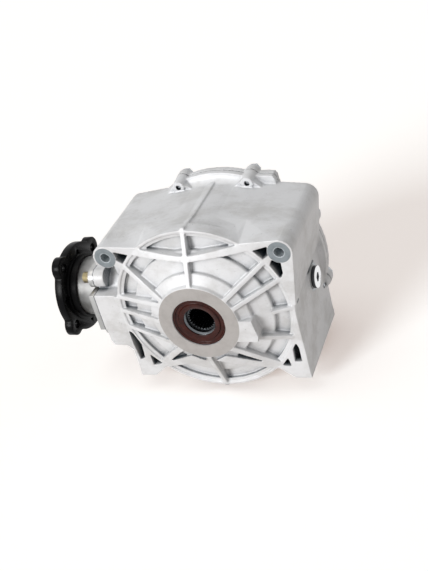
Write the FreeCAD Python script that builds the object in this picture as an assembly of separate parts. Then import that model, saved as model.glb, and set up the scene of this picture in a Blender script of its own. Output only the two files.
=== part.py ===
import FreeCAD, Part
import math
import os

V = FreeCAD.Vector

# Rear final drive of a small off-road vehicle, in millimetres.
# Y is the axle axis, X the pinion axis, Z up.
# The origin is the middle of the front axle bore, on the machined hub face.

# Case envelope along the axle
RIM_FRONT_Y = 22.2          # front plane of the round rim
BOSS_FRONT_Y = 23.6         # front plane of the two mounting bosses
JOINT_Y = 141.0             # joint between case and cover
CASE_FLANGE_T = 7.0         # case flange thickness
COVER_FLANGE_T = 7.5        # cover flange thickness
GASKET_T = 0.5              # cover gasket thickness
COVER_HUB_Y = 176.0         # rear hub face of the cover

# Drum, rim and dome
RIM_R = 103.0               # rim, outside
RIM_WIDTH = 3.2             # front land of the rim
RIM_SHELF = 4.3             # second land, inside the first
RIM_SHELF_DROP = 1.6        # second land, behind the first
RIM_DEPTH = 16.0            # rim length along the axle
DRUM_R = 100.0              # gear drum, outside
CHAMBER_R = 94.0            # gear chamber, inside
FLANGE_R = 110.0            # joint flange, outside
FLANGE_FILLET = 10.0        # drum to joint flange
HUB_R = 46.0                # machined hub face
STEP_1_R = 56.0             # inner step of the dome
STEP_2_R = 77.5             # outer step of the dome
STEP_1_Y = 8.5              # depth of the inner step
STEP_2_Y = 19.5             # depth of the outer step
STEP_1_RISE = 5.5           # height of the inner step
STEP_2_RISE = 6.5           # height of the outer step
STEP_ROUND = 2.5            # rounded shoulder of each step
DOME_EDGE_Y = 28.5          # floor of the dome beside the rim

# Upper box and feet
CREST_Z = 100.0             # crest of the roof
BOSS_X = 99.8               # mounting bosses, from the middle
BOSS_Z = 72.7               # mounting bosses, height
BOSS_R = 12.9               # mounting boss radius
BOSS_PROUD = 1.2            # boss face in front of the ribs
MOUNT_SINK = 1.4            # chamfer of the mounting holes
CORNER_R = 14.5             # roof corner radius round the boss tubes
MOUNT_HOLE_R = 5.25         # clearance for a 10 mm bolt
VALLEY_X = 59.0             # where the rim arc leaves the roof
ROOF_BLEND_Y = 58.0         # where the roof reaches its full section
WAIST_X = 102.6             # narrowest half width of the side walls
WAIST_Z = 7.0               # height of the crease in the side walls, at the front
WAIST_RISE = 0.07           # climb of the crease towards the back
WAIST_STEP = 2.4            # upper wall proud of the lower one
WAIST_LEDGE = 0.5           # fall of the ledge between them
FOOT_X = 104.4              # outside of the feet
FOOT_Z = -92.0              # underside of the feet
FOOT_FLAT = 18.8            # width of the flat under a foot
FOOT_TOE_X = 70.3           # inner end of the foot
FOOT_TOE_Z = -79.6          # underside at the inner end of the foot
SKIN = 5.0                  # wall of the roof, sides and feet
FRONT_PLATE = 7.0           # front plate over the corner pockets
RIDGE_LEFT = (-4.4, -12.5)  # left side of the strip along the crest, front and back
RIDGE_RIGHT = (1.6, 2.2)    # right side of it
RIDGE_RISE = 1.7            # height of its right side

# Star ribs
RIB_W = 5.2                 # width of a star rib
RIB_BACK_Y = 38.0           # the ribs run back to here
CREST_NUB = 2.6             # ends of the upright rib, proud of the rim
NUB_L = 5.0                 # length of those ends along the axle

# Joint bolts
JOINT_BOLTS = 8             # M8 bolts round the joint
JOINT_PCR = 108.0           # pitch radius of the joint bolts
JOINT_BOSS_R = 9.0          # bolt bosses, at the joint
JOINT_BOSS_NOSE_R = 7.0     # bolt bosses, at their front
BOLT_GRIP_IN_CASE = 15.0    # thread length of a joint bolt in the case
LONG_BOSS_L = 18.0          # the two bosses over the roof
SHORT_BOSS_L = 9.5          # the other bosses
PAD_REACH = 17.0            # feet of those two bosses, to each side
PAD_SINK = 0.8              # tips of the feet, below the roof
M8_R = 4.0
HOLE_GAP = 0.05             # bolt to its hole, on the radius
DOWEL_R = 3.0
DOWEL_PCR = 102.0           # dowels, in the flange

# Pinion and its cartridge
PINION_Y = 78.5             # pinion axis, behind the hub face
SNOUT_R = 41.0              # cast snout round the cartridge
SNOUT_END_X = -133.0        # end face of the snout
CART_BORE_R = 36.0          # cartridge spigot
CART_FLANGE_T = 6.0
NOSE_R = 35.0               # turned nose of the cartridge
NOSE_END_X = -171.5
CART_PCR = 47.0             # cartridge bolts, pitch radius
CART_LUG_R = 11.5
CART_LUG_L = 13.0           # length of the cast lugs
SHIM_T = 0.5
CAP_HEAD_R = 6.5            # cap screws of the cartridge
CAP_HEAD_T = 8.0
CAP_SOCKET_R = 3.0
CAP_SOCKET_L = 4.5
CAP_WASHER_R = 8.0
CAP_WASHER_T = 1.6
CAP_GRIP = 15.5             # thread under the head, into the lug
CAP_HOLE_PAST = 1.5         # blind hole past the thread

# Input flange
FLANGE_IN_X = -176.6        # inner side of the input flange
FLANGE_T = 9.0
LOBE_PCR = 50.0             # bolt circle of the input flange, radius
LOBE_R = 13.2
LOBE_HOLE_R = 5.25
LOBE_ANGLE = 32.5           # first lobe, from +Y towards +Z
FLANGE_DISC_R = 53.0
LOBE_FILLET = 5.0
RAISED_R = 41.0             # raised face round the hub
RAISED_T = 2.6
SHROUD_R = 38.0             # dust shroud over the nose of the cartridge
SHROUD_GAP = 0.8
SHROUD_END_X = -167.0
PULLER_R = 3.0              # threaded holes between the lobes
PULLER_PCR = 43.0
NUT_RECESS = 3.0            # depth of the recess for the pinion nut
NUT_T = 10.0
NUT_WASHER_T = 2.0
PINION_THREAD_R = 10.0
PINION_SPLINE_R = 12.5

# Final drive gears
RING_TEETH = 37
PINION_TEETH = 11
RING_PITCH_R = 84.0
FINAL_FACE = 24.0
FINAL_RING_ADD = 0.62       # addendum of the ring gear, in modules
FINAL_PINION_ADD = 1.0      # addendum of the pinion, in modules
FINAL_CLEAR = 0.30          # root clearance, in modules
FINAL_BACKLASH = 0.30       # backlash at the pitch circle
PRESSURE_ANGLE = 20.0
BLANK_PAST = 0.4            # blank of a gear, past both ends of its teeth

# Differential
DIFF_Y = 76.0               # middle of the differential
SIDE_TEETH = 14
SPIDER_TEETH = 10
SIDE_PITCH_R = 24.0
DIFF_FACE = 9.0
DIFF_ADD = 0.80             # addendum of both gears, in modules
DIFF_CLEAR = 0.25
DIFF_BACKLASH = 0.30
SLEEVE_R = 20.0             # output sleeve, outside
SLEEVE_CHAMFER = 1.8        # mouth of the sleeve
SLEEVE_RECESS = 4.5         # sleeve end, behind the hub face
PILOT_R = 16.5              # plain mouth of the axle bore
PILOT_L = 6.0
SPLINE_ROOT_R = 15.5
SPLINE_TIP_R = 14.1
SPLINE_TEETH = 28
CROSS_PIN_R = 7.0
DIFF_CASE_R = 46.0
RUN = 0.05                  # running clearance on the radius
FACE_GAP = 0.3              # between faces that turn past each other

# Bearings and seals
CARRIER_BRG_ID_R = 25.0
CARRIER_BRG_OD_R = 40.0
CARRIER_BRG_W = 16.0
CARRIER_BRG_Y = 14.0        # front face of the front carrier bearing
PINION_BRG_ID_R = 15.0
PINION_BRG_OD_R = 31.0
PINION_BRG_W = 17.0
SEAL_R = 30.0
SEAL_W = 8.0
SEAL_RECESS = 1.6
DUST_LIP_R = 17.9           # dust lip, in front of the end of the sleeve
DUST_LIP_D = 2.5
PINION_SEAL_R = 26.0
FLANGE_HUB_R = 20.0

# Plugs
FILL_Y = 94.0
FILL_Z = -6.0
FILL_R = 10.0
DRAIN_Y = 84.0
DRAIN_R = 8.0
PLUG_HEAD_EDGE = 2.6        # plug head beyond its thread, on the radius
PLUG_HEAD_T = 3.0           # head of the drain plug
FILL_HEAD_T = 4.6           # head of the fill plug
FILL_SOCKET_R = 5.0         # hexagon sockets of the plugs, across corners
DRAIN_SOCKET_R = 4.0
SOCKET_PAST = 4.5           # sockets past the seat
PLUG_WASHER_T = 1.2
PLUG_THREAD_L = 11.0
SPOTFACE = 0.8              # depth of the machined seat of a plug
FILL_BOSS_R = 18.5          # raised seat of the fill plug
FILL_SEAT_X = WAIST_X + WAIST_STEP - SPOTFACE
DRAIN_BOSS = 3.0            # drain boss, proud of the drum


def prism_y(points, y0, y1):
    """Polygon of (x, z) points, extruded along the axle from y0 to y1."""
    corners = [V(x, y0, z) for x, z in points]
    face = Part.Face(Part.makePolygon(corners + corners[:1]))
    return face.extrude(V(0, y1 - y0, 0))


def rod_y(radius, y0, y1, x=0.0, z=0.0):
    return Part.makeCylinder(radius, y1 - y0, V(x, y0, z), V(0, 1, 0))


def rod_x(radius, x0, x1, y=PINION_Y, z=0.0):
    return Part.makeCylinder(radius, x1 - x0, V(x0, y, z), V(1, 0, 0))


def rod_z(radius, z0, z1, x=0.0, y=0.0):
    return Part.makeCylinder(radius, z1 - z0, V(x, y, z0), V(0, 0, 1))


def ring_y(outer, inner, y0, y1):
    return rod_y(outer, y0, y1).cut(rod_y(inner, y0 - 1, y1 + 1))


def ring_x(outer, inner, x0, x1):
    return rod_x(outer, x0, x1).cut(rod_x(inner, x0 - 1, x1 + 1))


def turned_y(profile):
    """Solid turned about the axle from (radius, y) points."""
    corners = [V(r, y, 0) for r, y in profile]
    face = Part.Face(Part.makePolygon(corners + corners[:1]))
    return face.revolve(V(0, 0, 0), V(0, 1, 0), 360)


def turned_x(profile):
    """Solid turned about the pinion axis from (radius, x) points."""
    corners = [V(x, PINION_Y + r, 0) for r, x in profile]
    face = Part.Face(Part.makePolygon(corners + corners[:1]))
    return face.revolve(V(0, PINION_Y, 0), V(1, 0, 0), 360)


def fused(shapes):
    return shapes[0].multiFuse(shapes[1:]).removeSplitter()


def polar(radius, degrees):
    """Point (x, z) at an angle measured from straight up, clockwise."""
    a = math.radians(degrees)
    return radius * math.sin(a), radius * math.cos(a)


def around_y(count, radius, first_degrees):
    step = 360.0 / count
    return [polar(radius, first_degrees + step * k) for k in range(count)]


def around_x(count, radius, first_degrees):
    """Points (y, z) round the pinion axis, angle from +Y towards +Z."""
    points = []
    for k in range(count):
        a = math.radians(first_degrees + 360.0 / count * k)
        points.append((PINION_Y + radius * math.cos(a), radius * math.sin(a)))
    return points


def mirrored(points):
    return [(-x, z) for x, z in points]


def strip(a, b, width):
    """Straight band from a to b in the (x, z) plane."""
    dx, dz = b[0] - a[0], b[1] - a[1]
    length = math.hypot(dx, dz)
    nx, nz = -dz / length * width / 2, dx / length * width / 2
    return [(a[0] + nx, a[1] + nz), (b[0] + nx, b[1] + nz),
            (b[0] - nx, b[1] - nz), (a[0] - nx, a[1] - nz)]


# Case outline

def roof_tangent(radius):
    """Where the roof line from the crest touches the corner circle."""
    dx, dz = BOSS_X, BOSS_Z - CREST_Z
    distance = math.hypot(dx, dz)
    angle = math.atan2(dz, dx) + math.asin(radius / distance)
    reach = math.sqrt(distance ** 2 - radius ** 2)
    return reach * math.cos(angle), CREST_Z + reach * math.sin(angle)


def crease_z(y):
    return WAIST_Z + (y - RIM_FRONT_Y) * WAIST_RISE


def side_tangent(radius, y):
    """Where the upper side wall touches the corner circle."""
    foot_x, foot_z = WAIST_X + WAIST_STEP, crease_z(y)
    dx, dz = BOSS_X - foot_x, BOSS_Z - foot_z
    distance = math.hypot(dx, dz)
    angle = math.atan2(dz, dx) - math.asin(radius / distance)
    reach = math.sqrt(distance ** 2 - radius ** 2)
    return foot_x + reach * math.cos(angle), foot_z + reach * math.sin(angle)


def corner_arc(y, inset):
    """Arc of the roof corner, from roof to side, at the plane y."""
    radius = CORNER_R - inset
    roof = roof_tangent(CORNER_R)
    side = side_tangent(CORNER_R, y)
    mid_angle = math.radians(38.0)
    start, end = [
        (BOSS_X + (p[0] - BOSS_X) * radius / CORNER_R, BOSS_Z + (p[1] - BOSS_Z) * radius / CORNER_R)
        for p in (roof, side)
    ]
    middle = (BOSS_X + radius * math.cos(mid_angle), BOSS_Z + radius * math.sin(mid_angle))
    return start, middle, end


def outline(y, front, inset=0.0):
    """Closed wire of the case outside; the front one dips to the rim arc."""
    start, middle, end = corner_arc(y, inset)
    crest = (0.0, (RIM_R if front else CREST_Z) - inset)
    if front:
        valley_z = math.sqrt(RIM_R ** 2 - VALLEY_X ** 2)
    else:
        roof = roof_tangent(CORNER_R)
        valley_z = CREST_Z + (roof[1] - CREST_Z) * VALLEY_X / roof[0]
    valley = (VALLEY_X, valley_z - inset)
    lower = [
        (WAIST_X + WAIST_STEP - inset, crease_z(y)),
        (WAIST_X - inset, crease_z(y) - WAIST_LEDGE),
        (FOOT_X - inset, FOOT_Z + inset),
        (FOOT_X - FOOT_FLAT, FOOT_Z + inset),
        (FOOT_TOE_X, FOOT_TOE_Z + inset),
        (40.0, -62.0),
    ]

    def half(side):
        def at(point):
            return V(side * point[0], y, point[1])
        edges = []
        if front:
            a = math.asin(VALLEY_X / RIM_R) / 2
            bow = (RIM_R * math.sin(a), RIM_R * math.cos(a) - inset)
            edges.append(Part.Arc(at(crest), at(bow), at(valley)).toShape())
        else:
            edges.append(Part.LineSegment(at(crest), at(valley)).toShape())
        edges.append(Part.LineSegment(at(valley), at(start)).toShape())
        edges.append(Part.Arc(at(start), at(middle), at(end)).toShape())
        path = [end] + lower
        for p, q in zip(path, path[1:]):
            edges.append(Part.LineSegment(at(p), at(q)).toShape())
        return edges

    right, left = half(1), half(-1)
    floor = Part.LineSegment(V(40, y, -62), V(-40, y, -62)).toShape()
    return Part.Wire(right + [floor] + left[::-1])


def box(inset, back_y):
    """Roofed box with feet, blended at its front into the round rim."""
    nose = Part.makeLoft([outline(RIM_FRONT_Y, True, inset), outline(ROOF_BLEND_Y, False, inset)], True, True)
    barrel = Part.makeLoft([outline(ROOF_BLEND_Y, False, inset), outline(back_y, False, inset)], True, True)
    return nose.fuse(barrel)


def corner_pockets():
    """Deep hollows between drum, skin and boss tubes, open at the back."""
    y0, y1 = RIM_FRONT_Y, JOINT_Y
    keep = [rod_y(DRUM_R, y0 - 1, y1 + 1), Part.makeBox(300, FRONT_PLATE, 300, V(-150, y0, -150))]
    for side in (-1, 1):
        keep.append(rod_y(BOSS_R, y0 - 1, y1 + 1, side * BOSS_X, BOSS_Z))
    return box(SKIN, y1).cut(fused(keep))


def left_notch():
    """Open bay between the left mounting boss, the rim and the snout."""
    y0, y1 = RIM_FRONT_Y - 6, NOTCH_BACK_Y
    bay = prism_y([(-140.0, GUSSET_TOP_Z), (-90.0, GUSSET_TOP_Z), (-86.0, 56.0), (-90.0, 64.0),
                   (-140.0, 64.0)], y0, y1)
    return bay.cut(rod_y(RIM_R, y0 - 1, y1 + 1)).cut(rod_y(BOSS_R, y0 - 1, y1 + 1, -BOSS_X, BOSS_Z))


def notch_wall():
    """Back wall of that bay, inside the side wall."""
    y0, y1 = NOTCH_BACK_Y, NOTCH_BACK_Y + SKIN
    return box(0.5, JOINT_Y).common(
        prism_y([(-130.0, 0.0), (-80.0, 0.0), (-80.0, 84.0), (-130.0, 84.0)], y0, y1))


NOTCH_BACK_Y = 50.0         # back of the bay under the left mounting boss

# Star of ribs on the front, as (x, z) outlines

V_RIB = [(0.0, 71.3), (71.0, 75.8), (88.5, 79.8), (94.0, 86.0), (59.0, 83.2), (0.0, 77.0)]
UPPER_DIAGONAL = [(90.0, 67.8), (36.0, 28.5)]
LEFT_RIBS = [
    [(-102.0, 20.5), (-38.0, 24.0)],
    [(-102.0, 2.4), (-42.0, 2.4)],
    [(-102.0, -19.8), (-38.0, -26.5)],
]
RIGHT_RIB = [(95.5, 40.4), (38.0, 15.0)]
SHORT_LEDGE = [(79.0, 2.7), (104.0, 3.6)]
WIDE_RIB = [(103.2, -37.8), (58.0, -25.0)]
LOWER_DIAGONAL = [(74.0, -75.0), (28.5, -33.0)]
LOWER_DIAGONAL_W = 7.2
BOTTOM_WEB = [(70.0, -80.5), (6.0, -53.5), (20.0, -45.0), (50.0, -61.5), (68.0, -70.0)]
SIDE_BLOCK = [(40.0, 2.0), (60.4, 2.0), (64.0, -18.0), (62.5, -25.0), (40.0, -25.0)]
SIDE_BLOCK_DEPTH = 26.0


def rib_envelope():
    """Shallow cone that the front edges of all ribs lie on."""
    reach = RIM_R + CREST_NUB
    return turned_y([(0, 0), (HUB_R, 0), (reach, BOSS_FRONT_Y), (150, BOSS_FRONT_Y),
                     (150, RIB_BACK_Y), (0, RIB_BACK_Y)])


def star_ribs():
    y0, y1 = -1.0, RIB_BACK_Y
    reach = RIM_R + CREST_NUB
    plans = [V_RIB, mirrored(V_RIB)]
    plans.append(strip((0, RIM_R - 1), (0, 1 - RIM_R), RIB_W))
    plans.append(strip(*UPPER_DIAGONAL, RIB_W))
    plans.append(mirrored(strip(*UPPER_DIAGONAL, RIB_W + 1)))
    plans += [strip(*rib, RIB_W) for rib in LEFT_RIBS]
    plans.append(strip(*RIGHT_RIB, RIB_W))
    plans.append(strip(*WIDE_RIB, RIB_W))
    plans.append(strip(*SHORT_LEDGE, RIB_W - 1))
    for plan in (strip(*LOWER_DIAGONAL, LOWER_DIAGONAL_W), BOTTOM_WEB):
        plans += [plan, mirrored(plan)]
    ribs = [prism_y(plan, y0, y1) for plan in plans]
    ribs.append(prism_y(strip((0, reach), (0, -reach), RIB_W), y0, RIM_FRONT_Y + NUB_L))
    return fused(ribs).common(rib_envelope())


# Windows through the front plate of the feet, as (x, z) outlines

UPPER_WINDOW = [(71.5, 75.4), (90.0, 80.2), (92.0, 68.0), (82.5, 62.5)]
LOWER_WINDOW = [(86.5, 57.5), (91.0, 66.0), (99.0, 64.0), (98.8, 47.0), (94.8, 40.5)]
FOOT_SLOT_RIGHT = [(94.8, -43.5), (89.8, -51.9), (89.2, -69.0), (97.2, -69.0), (97.2, -50.0)]
FOOT_TRIANGLE_RIGHT = [(82.0, -64.0), (73.5, -74.5), (84.0, -75.5)]
FOOT_SLOT_LEFT = [(-102.0, -26.5), (-97.4, -30.5), (-91.4, -45.7), (-92.6, -66.0), (-98.8, -68.5), (-101.4, -46.0)]
FOOT_TRIANGLE_LEFT = [(-85.0, -60.5), (-72.3, -73.8), (-84.3, -76.8)]


def front_windows():
    y0, y1 = RIM_FRONT_Y - 5, RIM_FRONT_Y + FRONT_PLATE + 6
    plans = [UPPER_WINDOW, mirrored(UPPER_WINDOW), LOWER_WINDOW, mirrored(LOWER_WINDOW),
             FOOT_SLOT_RIGHT, FOOT_TRIANGLE_RIGHT, FOOT_SLOT_LEFT, FOOT_TRIANGLE_LEFT]
    keep = [rod_y(BOSS_R, y0 - 1, y1 + 1, side * BOSS_X, BOSS_Z) for side in (-1, 1)]
    diagonal = strip(*UPPER_DIAGONAL, RIB_W)
    keep += [prism_y(plan, y0 - 1, y1 + 1) for plan in (diagonal, mirrored(diagonal))]
    return [prism_y(plan, y0, y1).cut(fused(keep)) for plan in plans]


# Snout round the pinion cartridge

GUSSET_TOP_Z = 20.5         # flat top of the gusset
GUSSET_Y = 25.0             # front of the gusset
GUSSET_X = SNOUT_END_X      # left side of the gusset
GUSSET_LOW_Z = -27.0        # change from the upper to the lower part
LOBE_LOW_Z = -51.0          # underside of the lower part
LOBE_SET_BACK = 2.5         # lower part, behind the upper one


def lobed_plate(x0, x1, radius):
    """Round plate with four bolt lugs, a square top and an ear along the gusset."""
    places = around_x(4, CART_PCR, 45)
    lugs = [rod_x(CART_LUG_R, x0, x1, y, z) for y, z in places]
    half = CART_PCR * math.sqrt(0.5)
    top = Part.makeBox(x1 - x0, 2 * half, half + CART_LUG_R, V(x0, PINION_Y - half, 0))
    web = Part.makeBox(x1 - x0, 2 * half, 2 * half, V(x0, PINION_Y - half, -half))
    ear = Part.makeBox(x1 - x0, PINION_Y - GUSSET_Y, GUSSET_TOP_Z - GUSSET_LOW_Z, V(x0, GUSSET_Y, GUSSET_LOW_Z))
    return fused([rod_x(radius, x0, x1), top, web, ear] + lugs)


def snout():
    gusset = prism_y([(GUSSET_X, GUSSET_TOP_Z), (-96.0, GUSSET_TOP_Z), (-96.0, GUSSET_LOW_Z - 6),
                      (GUSSET_X, GUSSET_LOW_Z)], GUSSET_Y, PINION_Y)
    lobe = prism_y([(GUSSET_X, GUSSET_LOW_Z + 2), (-98.0, GUSSET_LOW_Z + 2), (-98.0, LOBE_LOW_Z - 16),
                    (-105.4, LOBE_LOW_Z - 9.5), (-113.6, LOBE_LOW_Z - 1), (GUSSET_X + 3.0, LOBE_LOW_Z),
                    (GUSSET_X, LOBE_LOW_Z + 7)], GUSSET_Y + LOBE_SET_BACK, PINION_Y)
    lugs = lobed_plate(SNOUT_END_X, SNOUT_END_X + CART_LUG_L, SNOUT_R)
    barrel = rod_x(SNOUT_R, SNOUT_END_X, -80.0)
    return fused([barrel, lugs, gusset, lobe])


def flange_lug(y0, y1):
    """Small square lug on the joint flange, right of the crest."""
    return prism_y([(48.0, 92.0), (60.0, 78.0), (70.0, 77.0), (71.6, 81.5), (70.4, 97.4), (67.9, 101.6),
                    (48.0, 103.0)], y0, y1)


def joint_holes(radius, y0, y1):
    return [rod_y(radius, y0, y1, x, z) for x, z in around_y(JOINT_BOLTS, JOINT_PCR, 22.5)]


def dowel_places():
    return around_y(2, DOWEL_PCR, 90.0)


def joint_bosses():
    """Tapered bolt bosses in front of the joint; the upper two are long."""
    bosses = []
    for x, z in around_y(JOINT_BOLTS, JOINT_PCR, 22.5):
        on_roof = z > 0.8 * JOINT_PCR
        length = CASE_FLANGE_T + (LONG_BOSS_L - CASE_FLANGE_T if on_roof else SHORT_BOSS_L - CASE_FLANGE_T)
        bosses.append(Part.makeCone(JOINT_BOSS_NOSE_R, JOINT_BOSS_R, length, V(x, JOINT_Y - length, z), V(0, 1, 0)))
    return bosses


def boss_pads():
    """Flared feet that tie the two upper bosses to the roof."""
    roof = roof_tangent(CORNER_R)
    slope = (CREST_Z - roof[1]) / roof[0]
    x, z = polar(JOINT_PCR, 22.5)
    inner, outer = x - PAD_REACH, x + PAD_REACH
    plan = [(inner, CREST_Z - inner * slope - PAD_SINK), (inner, CREST_Z - inner * slope - 3), (outer, CREST_Z - outer * slope - 3),
            (outer, CREST_Z - outer * slope - PAD_SINK), (x + 4, z + 4), (x - 4, z + 4)]
    y0 = JOINT_Y - LONG_BOSS_L + 1.5
    return [prism_y(plan, y0, JOINT_Y - 1), prism_y(mirrored(plan), y0, JOINT_Y - 1)]


def drum():
    """Round rim, gear drum and joint flange in one turned shape."""
    front, flange_y = RIM_FRONT_Y, JOINT_Y - CASE_FLANGE_T
    fillet = FLANGE_FILLET
    start = V(DRUM_R, flange_y - fillet, 0)
    bow = V(DRUM_R + fillet * (1 - math.cos(math.pi / 4)), flange_y - fillet * (1 - math.sin(math.pi / 4)), 0)
    end = V(DRUM_R + fillet, flange_y, 0)
    dome_r = STEP_2_R + STEP_ROUND
    corners = [end, V(FLANGE_R, JOINT_Y, 0), V(0, JOINT_Y, 0), V(0, 0, 0), V(dome_r, 0, 0), V(dome_r, front, 0),
               V(RIM_R, front, 0), V(RIM_R, front + RIM_DEPTH, 0), V(DRUM_R, front + RIM_DEPTH + 3, 0), start]
    edges = [Part.LineSegment(p, q).toShape() for p, q in zip(corners, corners[1:])]
    edges.append(Part.Arc(start, bow, end).toShape())
    return Part.Face(Part.Wire(edges)).revolve(V(0, 0, 0), V(0, 1, 0), 360)


def dome_recess():
    """Space in front of the stepped dome, inside the rim."""
    shelf_r = RIM_R - RIM_WIDTH
    floor_r = shelf_r - RIM_SHELF
    shelf_y = RIM_FRONT_Y + RIM_SHELF_DROP
    profile = [V(r, y, 0) for r, y in (
        (0, -5), (shelf_r, -5), (shelf_r, shelf_y), (floor_r, shelf_y), (floor_r, DOME_EDGE_Y),
        (STEP_2_R + STEP_ROUND, STEP_2_Y + STEP_2_RISE))]
    edges = [Part.LineSegment(p, q).toShape() for p, q in zip(profile, profile[1:])]
    at = profile[-1]
    for radius, depth, foot in ((STEP_2_R, STEP_2_Y, (STEP_1_R + STEP_ROUND, STEP_1_Y + STEP_1_RISE)),
                                (STEP_1_R, STEP_1_Y, (HUB_R + 1, 4.0))):
        rise = V(radius + STEP_ROUND, depth + STEP_ROUND, 0)
        bow = V(radius + STEP_ROUND * 0.75, depth + STEP_ROUND * 0.3, 0)
        crown = V(radius, depth, 0)
        edges.append(Part.LineSegment(at, rise).toShape())
        edges.append(Part.Arc(rise, bow, crown).toShape())
        at = V(foot[0], foot[1], 0)
        edges.append(Part.LineSegment(crown, at).toShape())
    edges.append(Part.LineSegment(at, V(0, 4.0, 0)).toShape())
    edges.append(Part.LineSegment(V(0, 4.0, 0), profile[0]).toShape())
    return Part.Face(Part.Wire(edges)).revolve(V(0, 0, 0), V(0, 1, 0), 360)


def crest_strip():
    """Strip along the crest: flush with the roof on its left, proud on its right."""
    roof = roof_tangent(CORNER_R)
    slope = (CREST_Z - roof[1]) / roof[0]
    y0, y1 = RIM_FRONT_Y + 1, JOINT_Y - CASE_FLANGE_T + 1

    def section(y, crest):
        share = (y - y0) / (y1 - y0)
        left = RIDGE_LEFT[0] + (RIDGE_LEFT[1] - RIDGE_LEFT[0]) * share
        right = RIDGE_RIGHT[0] + (RIDGE_RIGHT[1] - RIDGE_RIGHT[0]) * share
        corners = [V(left, y, crest - 4), V(left, y, crest + left * slope + 0.2), V(right - 2.5, y, crest + RIDGE_RISE),
                   V(right, y, crest + RIDGE_RISE), V(right, y, crest - 4)]
        return Part.makePolygon(corners + corners[:1])

    front = Part.makeLoft([section(y0, RIM_R), section(ROOF_BLEND_Y, CREST_Z)], True, True)
    back = Part.makeLoft([section(ROOF_BLEND_Y, CREST_Z), section(y1, CREST_Z)], True, True)
    return front.fuse(back)


def mount_hole(side):
    """Countersunk hole along a whole mounting boss tube."""
    x, z = side * BOSS_X, BOSS_Z
    front = BOSS_FRONT_Y - BOSS_PROUD
    sink = Part.makeCone(MOUNT_HOLE_R + MOUNT_SINK, MOUNT_HOLE_R, MOUNT_SINK, V(x, front, z), V(0, 1, 0))
    return rod_y(MOUNT_HOLE_R, front - 1, JOINT_Y + 1, x, z).fuse(sink)


def main_case():
    flange_y = JOINT_Y - CASE_FLANGE_T
    body = box(0.0, JOINT_Y).cut(corner_pockets()).cut(left_notch())
    ridge = crest_strip()
    body = fused([body, drum(), snout(), ridge, notch_wall()])
    # The dome is sunk behind the rim before the star ribs go on
    hub = turned_y([(0, 0), (HUB_R, 0), (HUB_R + 1.5, 5), (HUB_R + 1.5, 36), (0, 36)])
    block = prism_y(SIDE_BLOCK, 0.0, SIDE_BLOCK_DEPTH)
    tubes = [rod_y(BOSS_R, BOSS_FRONT_Y - BOSS_PROUD, JOINT_Y, side * BOSS_X, BOSS_Z) for side in (-1, 1)]
    drain_boss = rod_z(DRAIN_R * 1.6, -DRUM_R - DRAIN_BOSS, -CHAMBER_R + 3, 0, DRAIN_Y)
    fill_boss = rod_x(FILL_BOSS_R, WAIST_X - 8, WAIST_X + WAIST_STEP, FILL_Y, FILL_Z)
    body = body.cut(dome_recess())
    body = fused([body, hub, star_ribs(), block, drain_boss, flange_lug(flange_y, JOINT_Y)]
                 + tubes + joint_bosses() + boss_pads() + [fill_boss])
    chamber = turned_y([(0, 34), (HUB_R, 34), (STEP_1_R - 3, 21), (STEP_2_R - 8, 26), (STEP_2_R, 34),
                        (CHAMBER_R - 5, 38), (CHAMBER_R, 44), (CHAMBER_R, JOINT_Y + 1), (0, JOINT_Y + 1)])
    cuts = [chamber,
            rod_y(CARRIER_BRG_OD_R + 0.02, CARRIER_BRG_Y, 40),
            rod_y(CARRIER_BRG_OD_R - 8, 5, 40),
            rod_y(SEAL_R, -1, SEAL_RECESS + SEAL_W),
            rod_y(SEAL_R - 3, -1, 20)]
    cuts.append(rod_x(CART_BORE_R + 0.02, SNOUT_END_X - 1, -70.0))
    cuts += [mount_hole(-1), mount_hole(1)]
    cuts += joint_holes(M8_R + HOLE_GAP, JOINT_Y - BOLT_GRIP_IN_CASE - 2, JOINT_Y + 1)
    cuts += [rod_y(M8_R - 1.2, JOINT_Y - LONG_BOSS_L - 1, JOINT_Y, x, z)
             for x, z in around_y(JOINT_BOLTS, JOINT_PCR, 22.5) if z > 0.8 * JOINT_PCR]
    cuts += [rod_y(DOWEL_R, JOINT_Y - 6, JOINT_Y + 1, x, z) for x, z in dowel_places()]
    cap_hole_end = SNOUT_END_X - SHIM_T - CART_FLANGE_T + CAP_GRIP + CAP_HOLE_PAST
    cuts += [rod_x(M8_R + HOLE_GAP, SNOUT_END_X - 1, cap_hole_end, y, z)
             for y, z in around_x(4, CART_PCR, 45)]
    seat_r = FILL_R + PLUG_HEAD_EDGE + 2
    cuts.append(rod_x(seat_r, FILL_SEAT_X, FILL_SEAT_X + 6, FILL_Y, FILL_Z))
    cuts.append(rod_x(FILL_R, FILL_SEAT_X - 16, FILL_SEAT_X + 6, FILL_Y, FILL_Z))
    cuts.append(rod_z(DRAIN_R, -DRUM_R - 5, -CHAMBER_R + 6, 0, DRAIN_Y))
    cuts += front_windows()
    for cut in cuts:
        body = body.cut(cut)
    return body.removeSplitter()


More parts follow.
